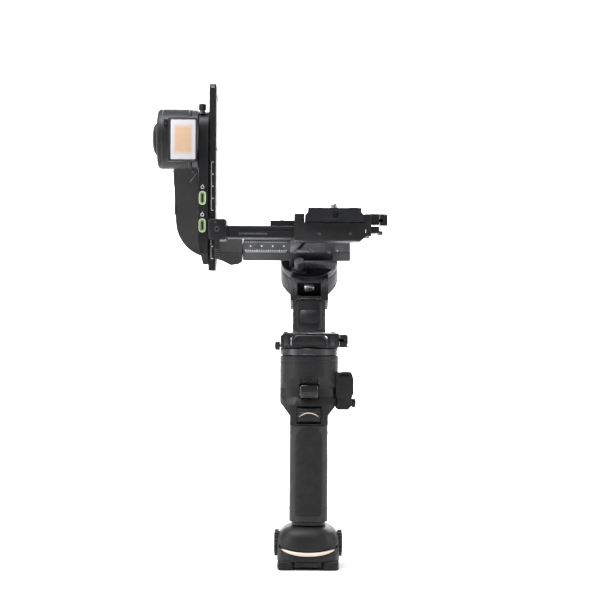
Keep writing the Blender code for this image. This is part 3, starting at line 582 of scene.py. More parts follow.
# Rays towards the part from each side
LENS, OPERATOR, ABOVE, BELOW = (0, 1, 0), (0, -1, 0), (0, 0, -1), (0, 0, 1)
FROM_LEFT, FROM_RIGHT = (1, 0, 0), (-1, 0, 0)
AHEAD, BEHIND, FAR_BEHIND, ASIDE = -60, 60, 140, 80      # where rays start, clear of the part, in mm


def onto(node, start, toward, sink=0.0):
    """The frame on a CAD node's surface where a ray lands: local Z leaves the surface, local Y is up."""
    ray = Vector(toward).normalized()
    hit, spot, normal, _ = NODES[node].ray_cast(Vector(start) * MM, ray)
    if not hit:
        raise ValueError(f"nothing of {node} lies ahead of {start}")
    if normal.dot(ray) > 0:
        normal = -normal
    up = Vector((0, 0, 1)) if abs(normal.z) < 0.95 else Vector((0, 1, 0))
    right = up.cross(normal).normalized()
    up = normal.cross(right)
    turn = Matrix((right, up, normal)).transposed().to_4x4()
    return Matrix.Translation(spot - normal * sink * MM) @ turn


def struck(node, start, toward):
    """True when a ray from outside lands on the node."""
    return NODES[node].ray_cast(Vector(start) * MM, Vector(toward).normalized())[0]


def pin(name, mesh, body, ink, place, angle=32):
    """Settles a mesh with a ready frame."""
    return settle(name, mesh, body, ink, home=place, angle=angle)


def screws(name, body, node, starts, toward, r=1.7, proud=0.5):
    """Cap screws at the places where a ray lands on the node."""
    for i, start in enumerate([start for start in starts if struck(node, start, toward)], 1):
        pin(f"{name}_{i}", screw_mesh(r, proud), body, "screw", onto(node, start, toward))


def knob_cap(name, body, ink, at, turn, r, key, proud=0.5, soft=0.3):
    """A steel cap with a hexagonal socket on the end of a knob."""
    mesh = hex_lathe([(r, -0.5, False), (r, proud - 0.2, False), (r - soft, proud, False),
                      (key, proud, True), (key, proud - 0.5, True)])
    settle(name, mesh, body, ink, at, turn)


def wires(name, body, ink, routes, radius, sides=10):
    """Several rods in one piece."""
    rods = [(rod_mesh(route, radius, sides), WORLD) for route in routes]
    settle(name, merged(rods), body, ink, angle=60)


def wire(name, body, ink, route, radius, sides=10):
    settle(name, rod_mesh(route, radius, sides), body, ink, angle=60)


def lever_ribs(body, node, proud, places):
    """Upright finger ribs along the outer edge of a cam lever."""
    low, high = corners(node)
    edge = high.x + proud
    routes = [[(edge, y, low.z + 1.4), (edge, y, high.z - 1.4)] for y in places]
    wires(f"{body}_ribs", body, "gloss", routes, 0.35)


def across(low, high, count):
    """Evenly spaced places from one point to another."""
    for k in range(count):
        share = k / (count - 1)
        yield [a + (b - a) * share for a, b in zip(low, high)]


def marks(name, body, node, entries, toward, ink="mark"):
    """One piece of many printed ticks: each entry is (x, y, z, width, height)."""
    made = []
    for x, y, z, wide, tall in entries:
        made.append((slab(soft_rectangle(wide, tall, min(wide, tall) * 0.3, count=1), 0.12, 0),
                     onto(node, (x, y, z), toward, sink=-0.05)))
    return pin(name, merged(made), body, ink, WORLD)


def traced(node, places, sink):
    """The spots where rays from the lens side land on a node, for (x, z) places."""
    starts = [(x, AHEAD, z) for x, z in places]
    return [onto(node, start, LENS, sink=sink).translation / MM for start in starts
            if struck(node, start, LENS)]


def row_of_marks(title, body, node, entries, toward, ink="mark"):
    """Prints only the ticks that land on the node."""
    marks(title, body, node, [e for e in entries if struck(node, e[:3], toward)], toward, ink)


def skin(name, body, ink, rows, trace, lift=0.35, sink=0.3, columns=16):
    """A thin pad wrapped round an upright surface: rows are (z, half width, extra lift)."""
    form = bmesh.new()
    grid = []
    for z, half, more in rows:
        line = []
        for k in range(columns + 1):
            x, y, nx, ny = trace(-half + 2 * half * k / columns)
            near = min(k, columns - k) == 0
            rise = -sink if near else lift + more
            line.append(form.verts.new(((x + nx * rise) * MM, (y + ny * rise) * MM, z * MM)))
        grid.append(line)
    for end in (0, -1):
        for k, vertex in enumerate(grid[end]):
            x, y, nx, ny = trace(-rows[end][1] + 2 * rows[end][1] * k / columns)
            vertex.co = ((x - nx * sink) * MM, (y - ny * sink) * MM, rows[end][0] * MM)
    for first, second in zip(grid, grid[1:]):
        for k in range(columns):
            form.faces.new((first[k], first[k + 1], second[k + 1], second[k]))
    return settle(name, sealed(form, name), body, ink, angle=60)


def grip_trace(side):
    """The grip's outline: from arc length round the middle of one face to place and normal."""
    low, high = corners("grip_front" if side < 0 else "grip_rear")
    corner = 12.0
    flat = high.x - corner
    reach = abs(low.y if side < 0 else high.y)

    def trace(u):
        far = abs(u)
        sign = 1 if u >= 0 else -1
        if far <= flat:
            return u, side * reach, 0.0, side
        angle = min((far - flat) / corner, pi / 2)
        spill = max(0.0, far - flat - corner * pi / 2)
        x = flat + corner * sin(angle)
        y = reach - corner + corner * cos(angle) - spill
        return sign * x, side * y, sign * sin(angle), side * cos(angle)
    return trace


# Small pieces on the handle -----------------------------------------------------------------------
BELT, BELT_BOW = 13.6, 3.6    # height of the lit belt at the middle, and its rise at the ends


def dress_base():
    low, high = corners("base_housing")
    corner, half, front = 19.0, high.x, low.y
    flat = half - corner

    def edge(x, out=0.0):
        far = max(0.0, abs(x) - flat)
        return front + corner - (max(0.0, (corner + out) ** 2 - far * far)) ** 0.5

    span = 22.6
    form = bmesh.new()
    rings = []
    for i in range(33):
        x = -span + 2 * span * i / 32
        share = abs(x) / span
        tall = 1.5 * (1 - share ** 3) ** 0.5 + 0.12
        z = BELT + BELT_BOW * share ** 2
        rings.append([form.verts.new((x * MM, (edge(x) + 0.1 - 1.1 * cos(2 * pi * k / 10)) * MM,
                                      (z + tall * sin(2 * pi * k / 10)) * MM)) for k in range(10)])
    crescent = settle("base_light_lens", tube_of(form, rings, "crescent"), "handle", "light",
                      angle=60)
    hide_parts("base_light")

    for title, rise, size in (("base_lip", 3.4, 0.55), ("base_sill", -3.0, 0.4)):
        route = [(x, edge(x) + 0.1, BELT + rise + BELT_BOW * (x / span) ** 2) for x in range(-24, 25, 2)]
        wire(title, "handle", "plastic", route, size)

    for side, title, turn in ((-1, "left", LEFT), (1, "right", RIGHT)):
        node = f"rosette_{title}"
        face = corners(node)[0 if side < 0 else 1].x
        centre = middle(node)
        at = (face, centre.y, centre.z)
        settle(f"{node}_thread", ring_mesh(3.6, 2.6, -0.6, 0.45, 32), "handle", "steel", at, turn)
        settle(f"{node}_ring", ring_mesh(8.6, 7.9, -0.3, 0.35, 48), "handle", "satin", at, turn)
    screws("floor_screw", "handle", "base_plate",
           [(-19, 0, -20), (19, 0, -20), (0, -22, -20), (0, 22, -20)], BELOW, r=1.6, proud=0.3)
    for title in ("foot_front_left", "foot_front_right", "foot_rear_left", "foot_rear_right"):
        low, high = corners(title)
        grooves = []
        outer = low.y if "front" in title else high.y
        for k in range(5):
            x = low.x + 4.0 + k * (high.x - low.x - 8.0) / 4
            grooves.append((slab(soft_rectangle(1.1, 3.4, 0.5), 0.5, 0.1),
                            onto(title, (x, outer * 2, 4.4), (0, -outer, 0), sink=-0.25)))
        pin(f"{title}_tread", merged(grooves), "handle", "rubber", WORLD)


def dress_grip():
    front, rear = grip_trace(-1), grip_trace(1)
    low, high = corners("grip_front")
    base, top = low.z + 5.0, high.z - 1.0
    rows = [(base, 9.0, 0), (base + 0.8, 11.6, 0), (base + 3.0, 12.6, 0)]
    rows += [(base + 3.0 + (top - base - 15.0) * i / 22, 12.6 + 0.5 * (i % 2), 0) for i in range(1, 22)]
    rows += [(top - 12 + 12 * sin(radians(a)), 0.2 + 12.6 * cos(radians(a)), 0)
             for a in (10, 25, 40, 52, 64, 74, 82, 88)]
    skin("finger_pad", "handle", "rubber", rows, front, lift=0.45)
    rows = [(base, 10.0, 0), (base + 0.8, 12.6, 0)]
    for i in range(24):
        z = base + 4 + (top - base - 8) * i / 23
        rows += [(z - 0.9, 13.4, 0.0), (z - 0.5, 13.4, 0.35), (z + 0.5, 13.4, 0.35), (z + 0.9, 13.4, 0)]
    rows += [(top - 0.8, 12.6, 0), (top, 10.0, 0)]
    skin("palm_pad", "handle", "rubber", rows, rear, lift=0.4)
    for side, title in ((-1, "left"), (1, "right")):
        screws(f"grip_screw_{title}", "handle", "grip_front",
               [(side * ASIDE, -4.5, z) for z in (base + 6, top - 6)], (-side, 0, 0), r=1.3, proud=0.25)


def dress_head():
    high = corners("head_housing")[1]
    settle("head_trim", ring_mesh(high.x + 0.18, high.x - 0.4, 0, 0.8, 96), "handle", "anodised",
           (0, 0, high.z - 4.2))
    settle("head_line", ring_mesh(high.x + 0.10, high.x - 0.4, 0, 0.35, 96), "handle", "dark",
           (0, 0, high.z - 6.0))
    routes = [[(x, -24.7, 163.4), (x, -21.6, 160.2), (x, -19.4, 157.9)]
              for x in (-7.5 + 2.5 * k for k in range(7))]
    wires("brow_ribs", "handle", "plastic", routes, 0.55)

    dial = middle("front_dial")
    reach = corners("front_dial")[1].x
    face = corners("front_dial")[0].y - 0.75
    arch = []
    for i in range(15):
        share = -1 + 2 * i / 14
        arch.append((share * (reach + 0.1), face - 0.1, dial.z - 0.9 + 3.4 * (1 - share * share)))
    lit = [(x * 0.84, y - 0.25, z - 0.45) for x, y, z in arch]
    sizes = [0.10 + 0.26 * (1 - (-1 + 2 * i / 14) ** 2) ** 0.5 for i in range(15)]
    wire("dial_light", "handle", "dial_light", lit, sizes)
    posts = [[(side * (reach + 0.5), face + 3.4, dial.z - 1.3)] for side in (-1, 1)]
    wire("dial_hood", "handle", "gloss", posts[0] + arch + posts[1], 0.5)

    trigger = corners("trigger")
    mid = middle("trigger")
    lines = [(0, mid.y - 40, mid.z + rise, 10.5, 0.5) for rise in (-2.4, 0, 2.4)]
    marks("trigger_lines", "trigger", "trigger", lines, LENS, "near_black_and_painted_shade")
    rim = trigger[0]
    settle("trigger_ridge", rod_mesh([(rim.x + 3.2, rim.y + 0.25, mid.z - 4.4),
                                      (0, rim.y + 0.15, mid.z - 4.4),
                                      (-rim.x - 3.2, rim.y + 0.25, mid.z - 4.4)], 0.5),
           "trigger", "gloss")

    block = corners("accessory_block")
    mid = middle("accessory_block")
    screws("block_screw", "handle", "accessory_block",
           [(ASIDE, y, z) for z in (158.5, 151.5) for y in (-7, 7)], FROM_RIGHT, r=1.3, proud=0.3)
    pin("block_socket", ring_mesh(3.1, 2.3, -0.4, 0.35, 36), "handle", "steel",
        onto("accessory_block", (ASIDE, 0, 155), FROM_RIGHT))
    marks("block_lines", "handle", "accessory_block",
          [(29.5, AHEAD, z, 7.0, 0.45) for z in (161.2, 159.4, 157.6)], LENS, "near_black_and_painted_shade")
    settle("block_jaw", slab(soft_rectangle(8, block[1].y * 1.7, 1.5), 0.9, 0.25), "handle", "satin",
           (mid.x + 1.4, 0, block[1].z + 0.6), FLAT)


def dress_controls():
    panel = corners("control_panel")
    face = panel[1].y
    loop = [(x, face, 141 + z) for x, z in soft_rectangle(28.6, 31.6, 5.4)]
    wire("panel_trim", "handle", "satin", loop + loop[:1], 0.35)
    marks("display_rows", "handle", "display",
          [(x, BEHIND, z, wide, 0.5) for x, z, wide in ((-4.5, 153.2, 5.0), (-5.2, 151.9, 3.6),
                                                        (-4.9, 150.6, 4.2))], OPERATOR, "lit_mark")
    marks("display_battery", "handle", "display",
          [(x, BEHIND, z, wide, tall) for x, z, wide, tall in (
              (4.2, 153.4, 5.2, 0.3), (4.2, 150.4, 5.2, 0.3), (1.6, 151.9, 0.3, 3.2),
              (6.8, 151.9, 0.3, 3.2), (5.4, 151.9, 1.6, 2.0), (3.2, 151.9, 1.6, 2.0))],
          OPERATOR, "lit_mark")
    for title, x in (("button_mark_left", -8), ("button_mark_right", 6.5)):
        marks(title, "handle", "control_panel", [(x, BEHIND, 125.35, 2.4, 0.36)], OPERATOR)
    stick = middle("joystick")
    tip = corners("joystick")[1].y
    settle("joystick_cap", ring_mesh(3.0, 2.2, -0.25, 0.25, 36), "joystick", "satin",
           (stick.x, tip - 0.15, stick.z), REAR)
    settle("joystick_well", ring_mesh(6.4, 5.75, -0.3, 0.5, 48), "handle", "satin",
           (stick.x, face, stick.z), REAR)
    record = middle("record_button")
    tip = corners("record_button")[1].y
    settle("record_ring", ring_mesh(2.4, 1.9, -0.2, 0.15, 36), "record_button", "mark",
           (record.x, tip, record.z), REAR)
    mode = middle("mode_button")
    tip = corners("mode_button")[1].y
    settle("mode_line", slab(soft_rectangle(4.2, 0.6, 0.25), 0.4, 0.05), "mode_button", "mark",
           (mode.x, tip + 0.12, mode.z), REAR)
    knob = middle("accessory_knob")
    knob_cap("accessory_knob_cap", "accessory_knob", "steel",
             (corners("accessory_knob")[1].x, knob.y, knob.z), RIGHT, 2.6, 1.1)


# Small pieces on the pan clamp, the pan arm and the roll motor ------------------------------------
def dress_pan():
    low, high = corners("pan_rotor")
    settle("rotor_trim", collar(high.x, 0.7), "pan", "screw", (0, 0, low.z + 19.6))
    pin("index_dot", slab(arc(0, 0, 0.85, 0.85, 0, 345, 23), 0.3, 0.05), "pan", "mark",
        onto("pan_rotor", (23.4, AHEAD, 184.8), LENS, sink=-0.12))
    top = corners("pan_clamp")[1].z
    screws("clamp_screw", "pan", "pan_clamp",
           [(x, y, top + 20) for y in (-17.5, 17.5) for x in (-20.5, 20.5)], ABOVE, r=1.9)
    marks("clamp_index", "pan", "pan_clamp", [(0, -18.5, top + 20, 0.5, 2.4)], ABOVE)
    # lighter satin strips down the clamp's front sides: painted highlights
    for side in (-1, 1):
        settle(f"clamp_painted_highlight_{'left' if side < 0 else 'right'}",
               slab(soft_rectangle(3.4, 8.6, 0.8), 0.7, 0.2), "pan", "satin",
               (side * 19.8, corners("pan_clamp")[0].y - 0.45, 194.6), FRONT)
    pin("pan_lever_pin", screw_mesh(2.0, 0.35), "pan_lever", "screw",
        onto("pan_clamp_lever", (29.1, 13, 230), ABOVE))
    lever_ribs("pan_lever", "pan_clamp_lever", 0.1, (-17, -14.6, -12.2, -9.8))
    knob = middle("pan_clamp_knob")
    knob_cap("pan_knob_cap", "pan_knob", "steel", (corners("pan_clamp_knob")[0].x, knob.y, knob.z), LEFT,
             2.4, 1.0)
    stem = [(knob.x, knob.y, knob.z), (knob.x + 6.0, knob.y, knob.z)]
    wire("pan_knob_stem", "pan", "steel", stem, 1.6)

    # the arm's front end, with a cap of painted shade and a rim of painted highlight
    front = corners("pan_arm")[0].y
    end = [(-13.6, 191.2), (13.6, 191.2), (13.6, 194.6), (10.2, 198.2), (-10.2, 198.2), (-13.6, 194.6)]
    # a darker slab over the front face: painted shade
    settle("arm_end_painted_shade", slab(end, 0.6, 0.25), "pan_arm", "near_black_and_painted_shade", (0, front - 0.25, 0), FRONT)
    # a lighter steel outline round the front end: painted highlight along its edges
    rim = [(-14.9, 190.7), (-14.9, 195.3), (-11.0, 198.8), (11.0, 198.8), (14.9, 195.3), (14.9, 190.7)]
    wire("arm_end_painted_highlight", "pan_arm", "screw", [(x, front - 0.1, z) for x, z in rim], 0.3)
    for k, (x, z) in enumerate(((-11.6, 216), (11.6, 216), (-10.8, 206), (10.8, 206)), 1):
        pin(f"arm_side_screw_{k}", screw_mesh(1.5, 0.3), "pan_arm", "screw",
            onto("pan_arm", (60 if x > 0 else -60, 66 + (z - 206) * 0.5, z),
                 FROM_RIGHT if x > 0 else FROM_LEFT))
    panel = onto("pan_arm", (0, AHEAD, 214), LENS, sink=0)
    pin("arm_inlay", slab(soft_rectangle(17, 13, 3), 0.6, 0.3), "pan_arm", "satin",
        panel @ Matrix.Translation((0, 0, 0.4 * MM)))


def dress_fork():
    screws("fork_screw", "pan_arm", "roll_fork", [(x, AHEAD, 231.0) for x in (-8.5, 8.5)], LENS, r=1.9,
           proud=0.45)
    screws("fork_rivet", "pan_arm", "roll_fork",
           [(x, AHEAD, z) for z in (247.5, 238) for x in (-14.2, 14.2)], LENS, r=1.25, proud=0.4)
    seam = [(-15.5, 226.5), (-9.8, 230.2), (9.8, 230.2), (15.5, 226.5)]
    route = []
    for start, end in zip(seam, seam[1:]):
        for spot in traced("roll_fork", across(start, end, 8), -0.05):
            if not route or (spot - route[-1]).length > SAME_SPOT:
                route.append(spot)
    wire("fork_seam", "pan_arm", "screw", route, 0.32)
    latch = middle("roll_lock")
    grip = [(slab(soft_rectangle(6.4, 0.7, 0.3), 0.5, 0.1),
             onto("roll_lock", (latch.x, AHEAD, latch.z + rise), LENS, sink=-0.25))
            for rise in (-1.2, 0, 1.2)]
    pin("roll_lock_ribs", merged(grip), "roll_lock", "screw", WORLD)


def dress_roll_motor():
    radius = 25.8
    for title, at, tall in (("roll_trim_top", -144.6, 0.8), ("roll_trim_low", -158.6, 0.7)):
        settle(title, collar(radius, tall), "pan_arm", "satin", (0, 0, at), home=ROLL)
    settle("roll_cap", ring_mesh(11.5, 10.4, -168.35, -167.7, 64), "pan_arm", "satin", home=ROLL)
    settle("roll_cap_disc", lathe([(0, -167.8), (8.6, -167.8), (9.0, -168.1), (8.6, -168.5),
                                   (0, -168.5)], 64), "pan_arm", "gloss", home=ROLL)
    for k, (x, y) in enumerate(arc(0, 0, 13.4, 13.4, 90, 330, 2), 1):
        settle(f"roll_cap_screw_{k}", screw_mesh(1.3, 0.4), "pan_arm", "screw", (x, y, -168.0), UNDER,
               home=ROLL)
    settle("roll_rotor_ring", ring_mesh(radius + 0.12, radius - 0.6, -139.2, -138.6, 96), "roll",
           "screw", home=ROLL)


# Small pieces on the upper arms -------------------------------------------------------------------
def dress_rail():
    entries = []
    for k in range(42):
        x = -57.0 + 2.0 * k
        if -19.5 < x < 23.5:
            continue
        entries.append((x, -40, 273.2, 0.6, 2.4 if k % 5 == 0 else 1.3))
        entries.append((x, -40, 280.9, 0.5, 0.8))
        if k % 5 == 2:
            entries.append((x, -40, 277.3, 1.4, 1.4))
    entries += [(x, -40, 271.9, 4.0, 0.3) for x in range(-55, -19, 4)]
    row_of_marks("roll_scale", "roll", "roll_rail", entries, LENS)


def dress_tilt_motor():
    left, right = corners("tilt_motor_housing")[0].x, corners("tilt_motor_housing")[1].x
    axis = middle("tilt_motor_housing")
    radius = corners("tilt_motor_housing")[1].z - axis.z
    for title, x, tall in (("tilt_trim_outer", left + 4.2, 0.7), ("tilt_trim_inner", right - 2.6, 0.8)):
        settle(title, collar(radius, tall), "roll_arm", "satin", (x, axis.y, axis.z), RIGHT)
    settle("tilt_rotor_ring", ring_mesh(25.45, 24.8, 0, 0.6, 96), "tilt", "screw",
           (corners("tilt_rotor")[1].x - 1.6, axis.y, axis.z), RIGHT)
    dial = corners("light_dial")
    settle("dial_groove", ring_mesh(8.6, 7.9, -0.3, 0.3, 64), "light_dial", "satin",
           (dial[0].x + 0.35, axis.y, axis.z), LEFT)
    settle("dial_pointer", slab(soft_rectangle(0.9, 4.2, 0.4, cy=5.2), 0.4, 0.05), "light_dial", "mark",
           (dial[0].x + 0.1, axis.y, axis.z), LEFT)
    crest, root = (arc(axis.y, axis.z, reach, reach, 0, 350, 35) for reach in (13.4, 13.2))
    teeth = [[(dial[1].x - 0.4, *tip), (dial[1].x - 1.6, *foot)] for tip, foot in zip(crest, root)]
    wires("dial_teeth", "light_dial", "plastic", teeth, 0.35, 6)
    for k, (y, z) in enumerate(arc(axis.y, axis.z, 16.4, 16.4, 200, 326, 9), 1):
        settle(f"dial_step_{k}", slab(soft_rectangle(0.6, 1.5, 0.25), 0.4, 0.05), "roll_arm", "dim_mark",
               (left - 0.12, y, z), LEFT)
    for k, (y, z) in enumerate(arc(axis.y, axis.z, 19.5, 19.5, 45, 285, 2), 1):
        settle(f"tilt_cap_screw_{k}", screw_mesh(1.3, 0.3), "roll_arm", "screw", (left, y, z), LEFT)

    housing = corners("light_frame")
    panel = corners("light_panel")
    mid = middle("light_panel")
    wide, tall = panel[1].x - panel[0].x, panel[1].z - panel[0].z
    ring = [(x, panel[0].y + 0.5, z) for x, z in soft_rectangle(wide + 1.0, tall + 1.0, 1.6, mid.x, mid.z)]
    wire("light_bezel", "roll_arm", "gloss", ring + ring[:1], 0.45)
    settle("light_sensor", slab(soft_rectangle(2.8, 3.8, 0.5), 1.6, 0.2), "roll_arm", "glass",
           (housing[0].x - 2.0, housing[0].y + 5.2, housing[1].z - 3.4), FRONT)
    settle("light_sensor_seat", slab(soft_rectangle(3.8, 4.8, 0.6), 7.5, 0.3), "roll_arm", "plastic",
           (housing[0].x - 2.0, housing[0].y + 5.6, housing[1].z - 3.4), FRONT)
    hood = [(x, housing[0].y + 1.4, housing[1].z + 0.1) for x in (housing[0].x + 1.6, housing[1].x - 1.6)]
    wire("light_hood", "roll_arm", "screw", hood, 0.5)
    screws("motor_foot_screw", "roll_arm", "roll_arm",
           [(x, AHEAD, housing[0].z - 6) for x in (housing[0].x + 3, housing[1].x - 5)], LENS, r=1.2,
           proud=0.35)


def dress_roll_arm():
    route = traced("roll_arm", across((-104.5, 331.0), (-98.0, 338.5), 12), -0.1)
    wire("arm_strip", "roll_arm", "screw", route, 0.4)
    screws("roll_arm_screw", "roll_arm", "roll_arm",
           [(x, FAR_BEHIND, z) for x, z in ((-111, 325), (-112, 300), (-104, 282), (-84, 270))], OPERATOR,
           r=1.5, proud=0.3)
    outside = corners("roll_arm")[0].x - 40
    for k, (y, z) in enumerate(((24, 335), (40, 310)), 1):
        pin(f"roll_arm_cover_{k}", slab(soft_rectangle(9, 14, 2.5), 0.7, 0.3), "roll_arm", "satin",
            onto("roll_arm", (outside, y, z), FROM_LEFT, sink=-0.35))
    lock = corners("tilt_lock")
    mid = middle("tilt_lock")
    edge = lock[1].y + 0.05
    routes = [[(x, edge, lock[0].z + 0.9), (x, edge, lock[1].z - 0.9)]
              for x in (mid.x - 2, mid.x, mid.x + 2)]
    wires("tilt_lock_ribs", "tilt_lock", "screw", routes, 0.3, 8)


def dress_tilt_arm():
    arm = corners("tilt_arm")
    for title in ("usb_port_upper", "usb_port_lower"):
        low, high = corners(title)
        mid = middle(title)
        # a glowing ring round each port: painted glow for the lit shell
        glow = [(x, low.y - 0.05, z) for x, z in soft_rectangle(high.x - low.x - 0.6, high.z - low.z - 0.6,
                                                                2.3, mid.x, mid.z)]
        wire(f"{title}_rim", "tilt", "port_rim_painted_glow", glow + glow[:1], 0.42)
        settle(f"{title}_tongue", slab(soft_rectangle(1.0, 6.4, 0.3), 2.0, 0.1), "tilt", "dark",
               (mid.x, low.y + 0.6, mid.z), FRONT)
        settle(f"{title}_well", slab(soft_rectangle(2.5, 8.0, 1.1), 0.4, 0), "tilt", "port_well",
               (mid.x, high.y - 0.6, mid.z), FRONT)
        up = high.z + 3.3
        icon = [(x, arm[0].y - 0.05, z) for x, z in soft_rectangle(2.3, 2.3, 0.6, mid.x, up)]
        settle(f"{title}_icon", rod_mesh(icon + icon[:1], 0.24, 6), "tilt", "mark", angle=60)
        settle(f"{title}_icon_bar", slab(soft_rectangle(0.5, 1.0, 0.15), 0.3, 0), "tilt", "mark",
               (mid.x, arm[0].y - 0.15, up + 2.0), FRONT)
    low, high = corners("upright_rail")
    front, mid = low.y, middle("upright_rail").x
    entries = []
    for k in range(9):
        z = 263.9 + 10.25 * k
        if 278 < z < 300:
            continue
        entries.append((mid + 0.3, front - 30, z, 1.7, 0.7))
        if z < 340:
            entries.append((mid - 0.7, front - 30, z + 5.1, 0.3, 9.0))
    row_of_marks("upright_scale", "tilt", "upright_rail", entries, LENS)
    for sx, title in ((-1, "left"), (1, "right")):
        edge = low.x + 1.25 if sx < 0 else high.x - 1.25
        settle(f"upright_line_{title}", rod_mesh([(edge, front - 0.02, low.z + 2),
                                                  (edge, front - 0.02, high.z - 2)], 0.16, 6), "tilt",
               "dark", angle=60)
    settle("upright_tip", slab(soft_rectangle(4.0, 3.0, 0.8), 0.5, 0.2), "tilt", "tip",
           (mid, front - 0.2, high.z - 1.9), FRONT)
    settle("upright_cap", slab(soft_rectangle(high.x - low.x - 1.0, high.y - low.y - 3, 1.0), 0.8, 0.4),
           "tilt", "screw", (mid, 0, high.z - 0.4), FLAT)
    screws("arm_block_screw", "tilt", "tilt_arm",
           [(arm[0].x - 20, y, z) for y, z in ((-14, 336), (14, 336), (-14, 304), (14, 304),
                                               (-11, 276), (11, 276))], FROM_LEFT, r=1.5)
    screws("upright_screw", "tilt", "upright_rail",
           [(high.x + 20, y, z) for y, z in ((-9, 402), (9, 402), (-9, 358), (9, 358), (0, 380))],
           FROM_RIGHT, r=1.5)
    knob = middle("arm_knob")
    top = corners("arm_knob")[1].z
    knob_cap("arm_knob_cap", "arm_knob", "screw", (knob.x, knob.y, top), FLAT, 2.1, 0.9, proud=0.4,
             soft=0.2)
    settle("arm_knob_stem", ring_mesh(2.4, 0.8, -3.2, -0.12, 32), "tilt", "screw",
           (knob.x, knob.y, corners("arm_knob")[0].z), FLAT)


# Small pieces under the camera --------------------------------------------------------------------
def dress_bracket():
    bar = corners("bracket")
    for title, start, toward in (("", AHEAD, LENS), ("_rear", BEHIND, OPERATOR)):
        screws(f"bracket{title}_screw", "bracket", "bracket",
               [(x, start, 293.5) for x in (-80, -70)], toward, r=1.4)
    pin("bracket_lever_pin", screw_mesh(2.2, 0.4), "bracket_lever", "screw",
        onto("bracket_lever", (-78.8, AHEAD, 288.5), LENS))
    lever = corners("bracket_lever")
    ribs = [(slab(soft_rectangle(4.2, 0.7, 0.3), 0.5, 0.1),
             onto("bracket_lever", (-78.8, AHEAD, lever[0].z + 2.2 + 1.8 * k), LENS, sink=-0.3))
            for k in range(4)]
    pin("bracket_lever_ribs", merged(ribs), "bracket_lever", "screw", WORLD)
    entries = [(-60 + 2.0 * k, -14, 340, 0.35, 3.6 if k % 5 == 0 else 2.2) for k in range(44)]
    row_of_marks("bracket_scale", "bracket", "bracket", entries, ABOVE)
    front = [(-60 + 1.0 * k, AHEAD, 285.2, 0.3, 1.4 if k % 5 else 2.2) for k in range(24)]
    row_of_marks("bracket_front_scale", "bracket", "bracket", front, LENS, "dim_mark")
    end = bar[1].x
    for k, y in enumerate((-9, 9), 1):
        settle(f"bar_stop_{k}", slab(soft_rectangle(4.5, 2.6, 0.6), 3.4, 0.3), "bracket", "screw",
               (end + 1.2, y + 1.7, 287.2), FRONT)
        settle(f"bar_blade_{k}", slab(soft_rectangle(5.6, 1.0, 0.3), 6.0, 0.2), "bracket", "steel",
               (end + 1.6, y + 3.0, 285.2 + 3.2 * (k - 1)), FRONT)


def dress_quick_release():
    for title, start, toward in (("side", AHEAD, LENS), ("rear", BEHIND, OPERATOR)):
        screws(f"qr_{title}_screw", "quick_release", "qr_base",
               [(x, start, 285.6) for x in (-27, 8, 34)], toward, r=1.5)
    screws("qr_stop_screw", "quick_release", "qr_base", [(-24, y, 340) for y in (-8, 8)], ABOVE, r=1.7)
    settle("qr_stop_pad", slab(soft_rectangle(12, 7, 1.2), 0.7, 0.25), "quick_release", "rubber",
           (-24, 0, 297.2), FLAT)
    pin("qr_lever_pin", screw_mesh(1.8, 0.35), "qr_lever", "screw",
        onto("qr_lever", (64.1, 14.2, 250), BELOW))
    lever_ribs("qr_lever", "qr_lever", -0.36, (-14.5, -12.1, -9.7, -7.3))
    window = onto("qr_base", (47, -80, 287.5), LENS, sink=-0.05)
    pin("qr_index", slab(soft_rectangle(0.6, 3.0, 0.2), 0.2, 0), "quick_release", "mark", window)


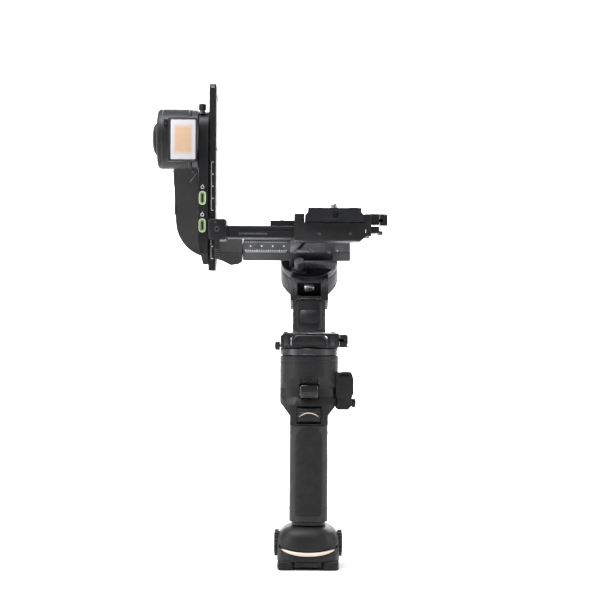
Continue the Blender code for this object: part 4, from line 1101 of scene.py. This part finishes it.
def dress_camera_plate():
    low, high = corners("camera_plate")
    mid = middle("camera_plate")
    for side, title in ((-1, "left"), (1, "right")):
        strip = slab(soft_rectangle(8.0, 84, 2.0), 0.7, 0.25)
        settle(f"plate_pad_{title}", strip, "camera_plate", "rubber",
               (mid.x + side * 15.2, 0, high.z + 0.4), FLAT)
        lines = [(slab(soft_rectangle(7.0, 0.8, 0.3), 0.3, 0.08),
                  at_place(mid.x + side * 15.2, -38 + 4 * k, high.z + 0.62)) for k in range(20)]
        settle(f"plate_pad_{title}_ribs", merged(lines), "camera_plate", "rubber")
    face = low.y
    screws("plate_end_screw", "camera_plate", "camera_plate", [(mid.x + 0.6, -90, 300.4)], LENS, r=2.4,
           proud=0.0)
    for k, x in enumerate((mid.x - 5.4, mid.x + 7.8), 1):
        settle(f"plate_seam_{k}", slab(soft_rectangle(0.45, 9.0, 0.2), 0.3, 0), "camera_plate",
               "screw" if k == 1 else "dim_mark", (x, face + 0.1, 300.7), FRONT)
    screws("plate_corner", "camera_plate", "camera_plate",
           [(mid.x + sx * 15.2, sy * 44.2, 350) for sx in (-1, 1) for sy in (-1, 1)], ABOVE, r=1.2,
           proud=0.25)
    slot_ring = [(mid.x + x, y, high.z + 0.05) for x, y in soft_rectangle(7.8, 34.8, 3.8, cy=24)]
    wire("plate_slot_rim", "camera_plate", "screw", slot_ring + slot_ring[:1], 0.3)
    rise = corners("camera_screw")[1].z - high.z - 1.2
    turns = [(x, y, high.z + 0.4 + rise * k / 96)
             for k, (x, y) in enumerate(arc(mid.x, -6, 3.05, 3.05, 0, 8 * 360, 96))]
    wire("screw_thread", "camera_screw", "steel", turns, 0.22, 6)


def dress_rail_clamp():
    for k, x, z in ((1, -13, 257.5), (3, -13, 272), (4, 17, 272)):
        place = onto("rail_clamp", (x, AHEAD, z), LENS)
        pin(f"rail_clamp_screw_{k}", screw_mesh(), "roll", "screw", place)
    route = traced("rail_clamp", across((-8.0, 279.5), (3.5, 271.5), 10), -0.15)
    wire("clamp_window_bar", "roll", "near_black_and_painted_shade", route, 0.7)
    lever = middle("rail_clamp_lever")
    starts = [(lever.x + 2 + 2.4 * k, AHEAD, lever.z) for k in range(5)]
    ribs = [(slab(soft_rectangle(0.8, 3.6, 0.3), 0.5, 0.1),
             onto("rail_clamp_lever", start, LENS, sink=-0.1))
            for start in starts if struck("rail_clamp_lever", start, LENS)]
    pin("rail_lever_ribs", merged(ribs), "rail_lever", "screw", WORLD)


def add_details():
    """Every small piece, from the foot up."""
    for dress in (dress_base, dress_grip, dress_head, dress_controls, dress_pan, dress_fork,
                  dress_roll_motor, dress_rail, dress_tilt_motor, dress_roll_arm, dress_tilt_arm,
                  dress_bracket, dress_quick_release, dress_camera_plate, dress_rail_clamp):
        dress()


# Put together -------------------------------------------------------------------------------------
set_camera()
set_stage()
dress_nodes()
add_details()
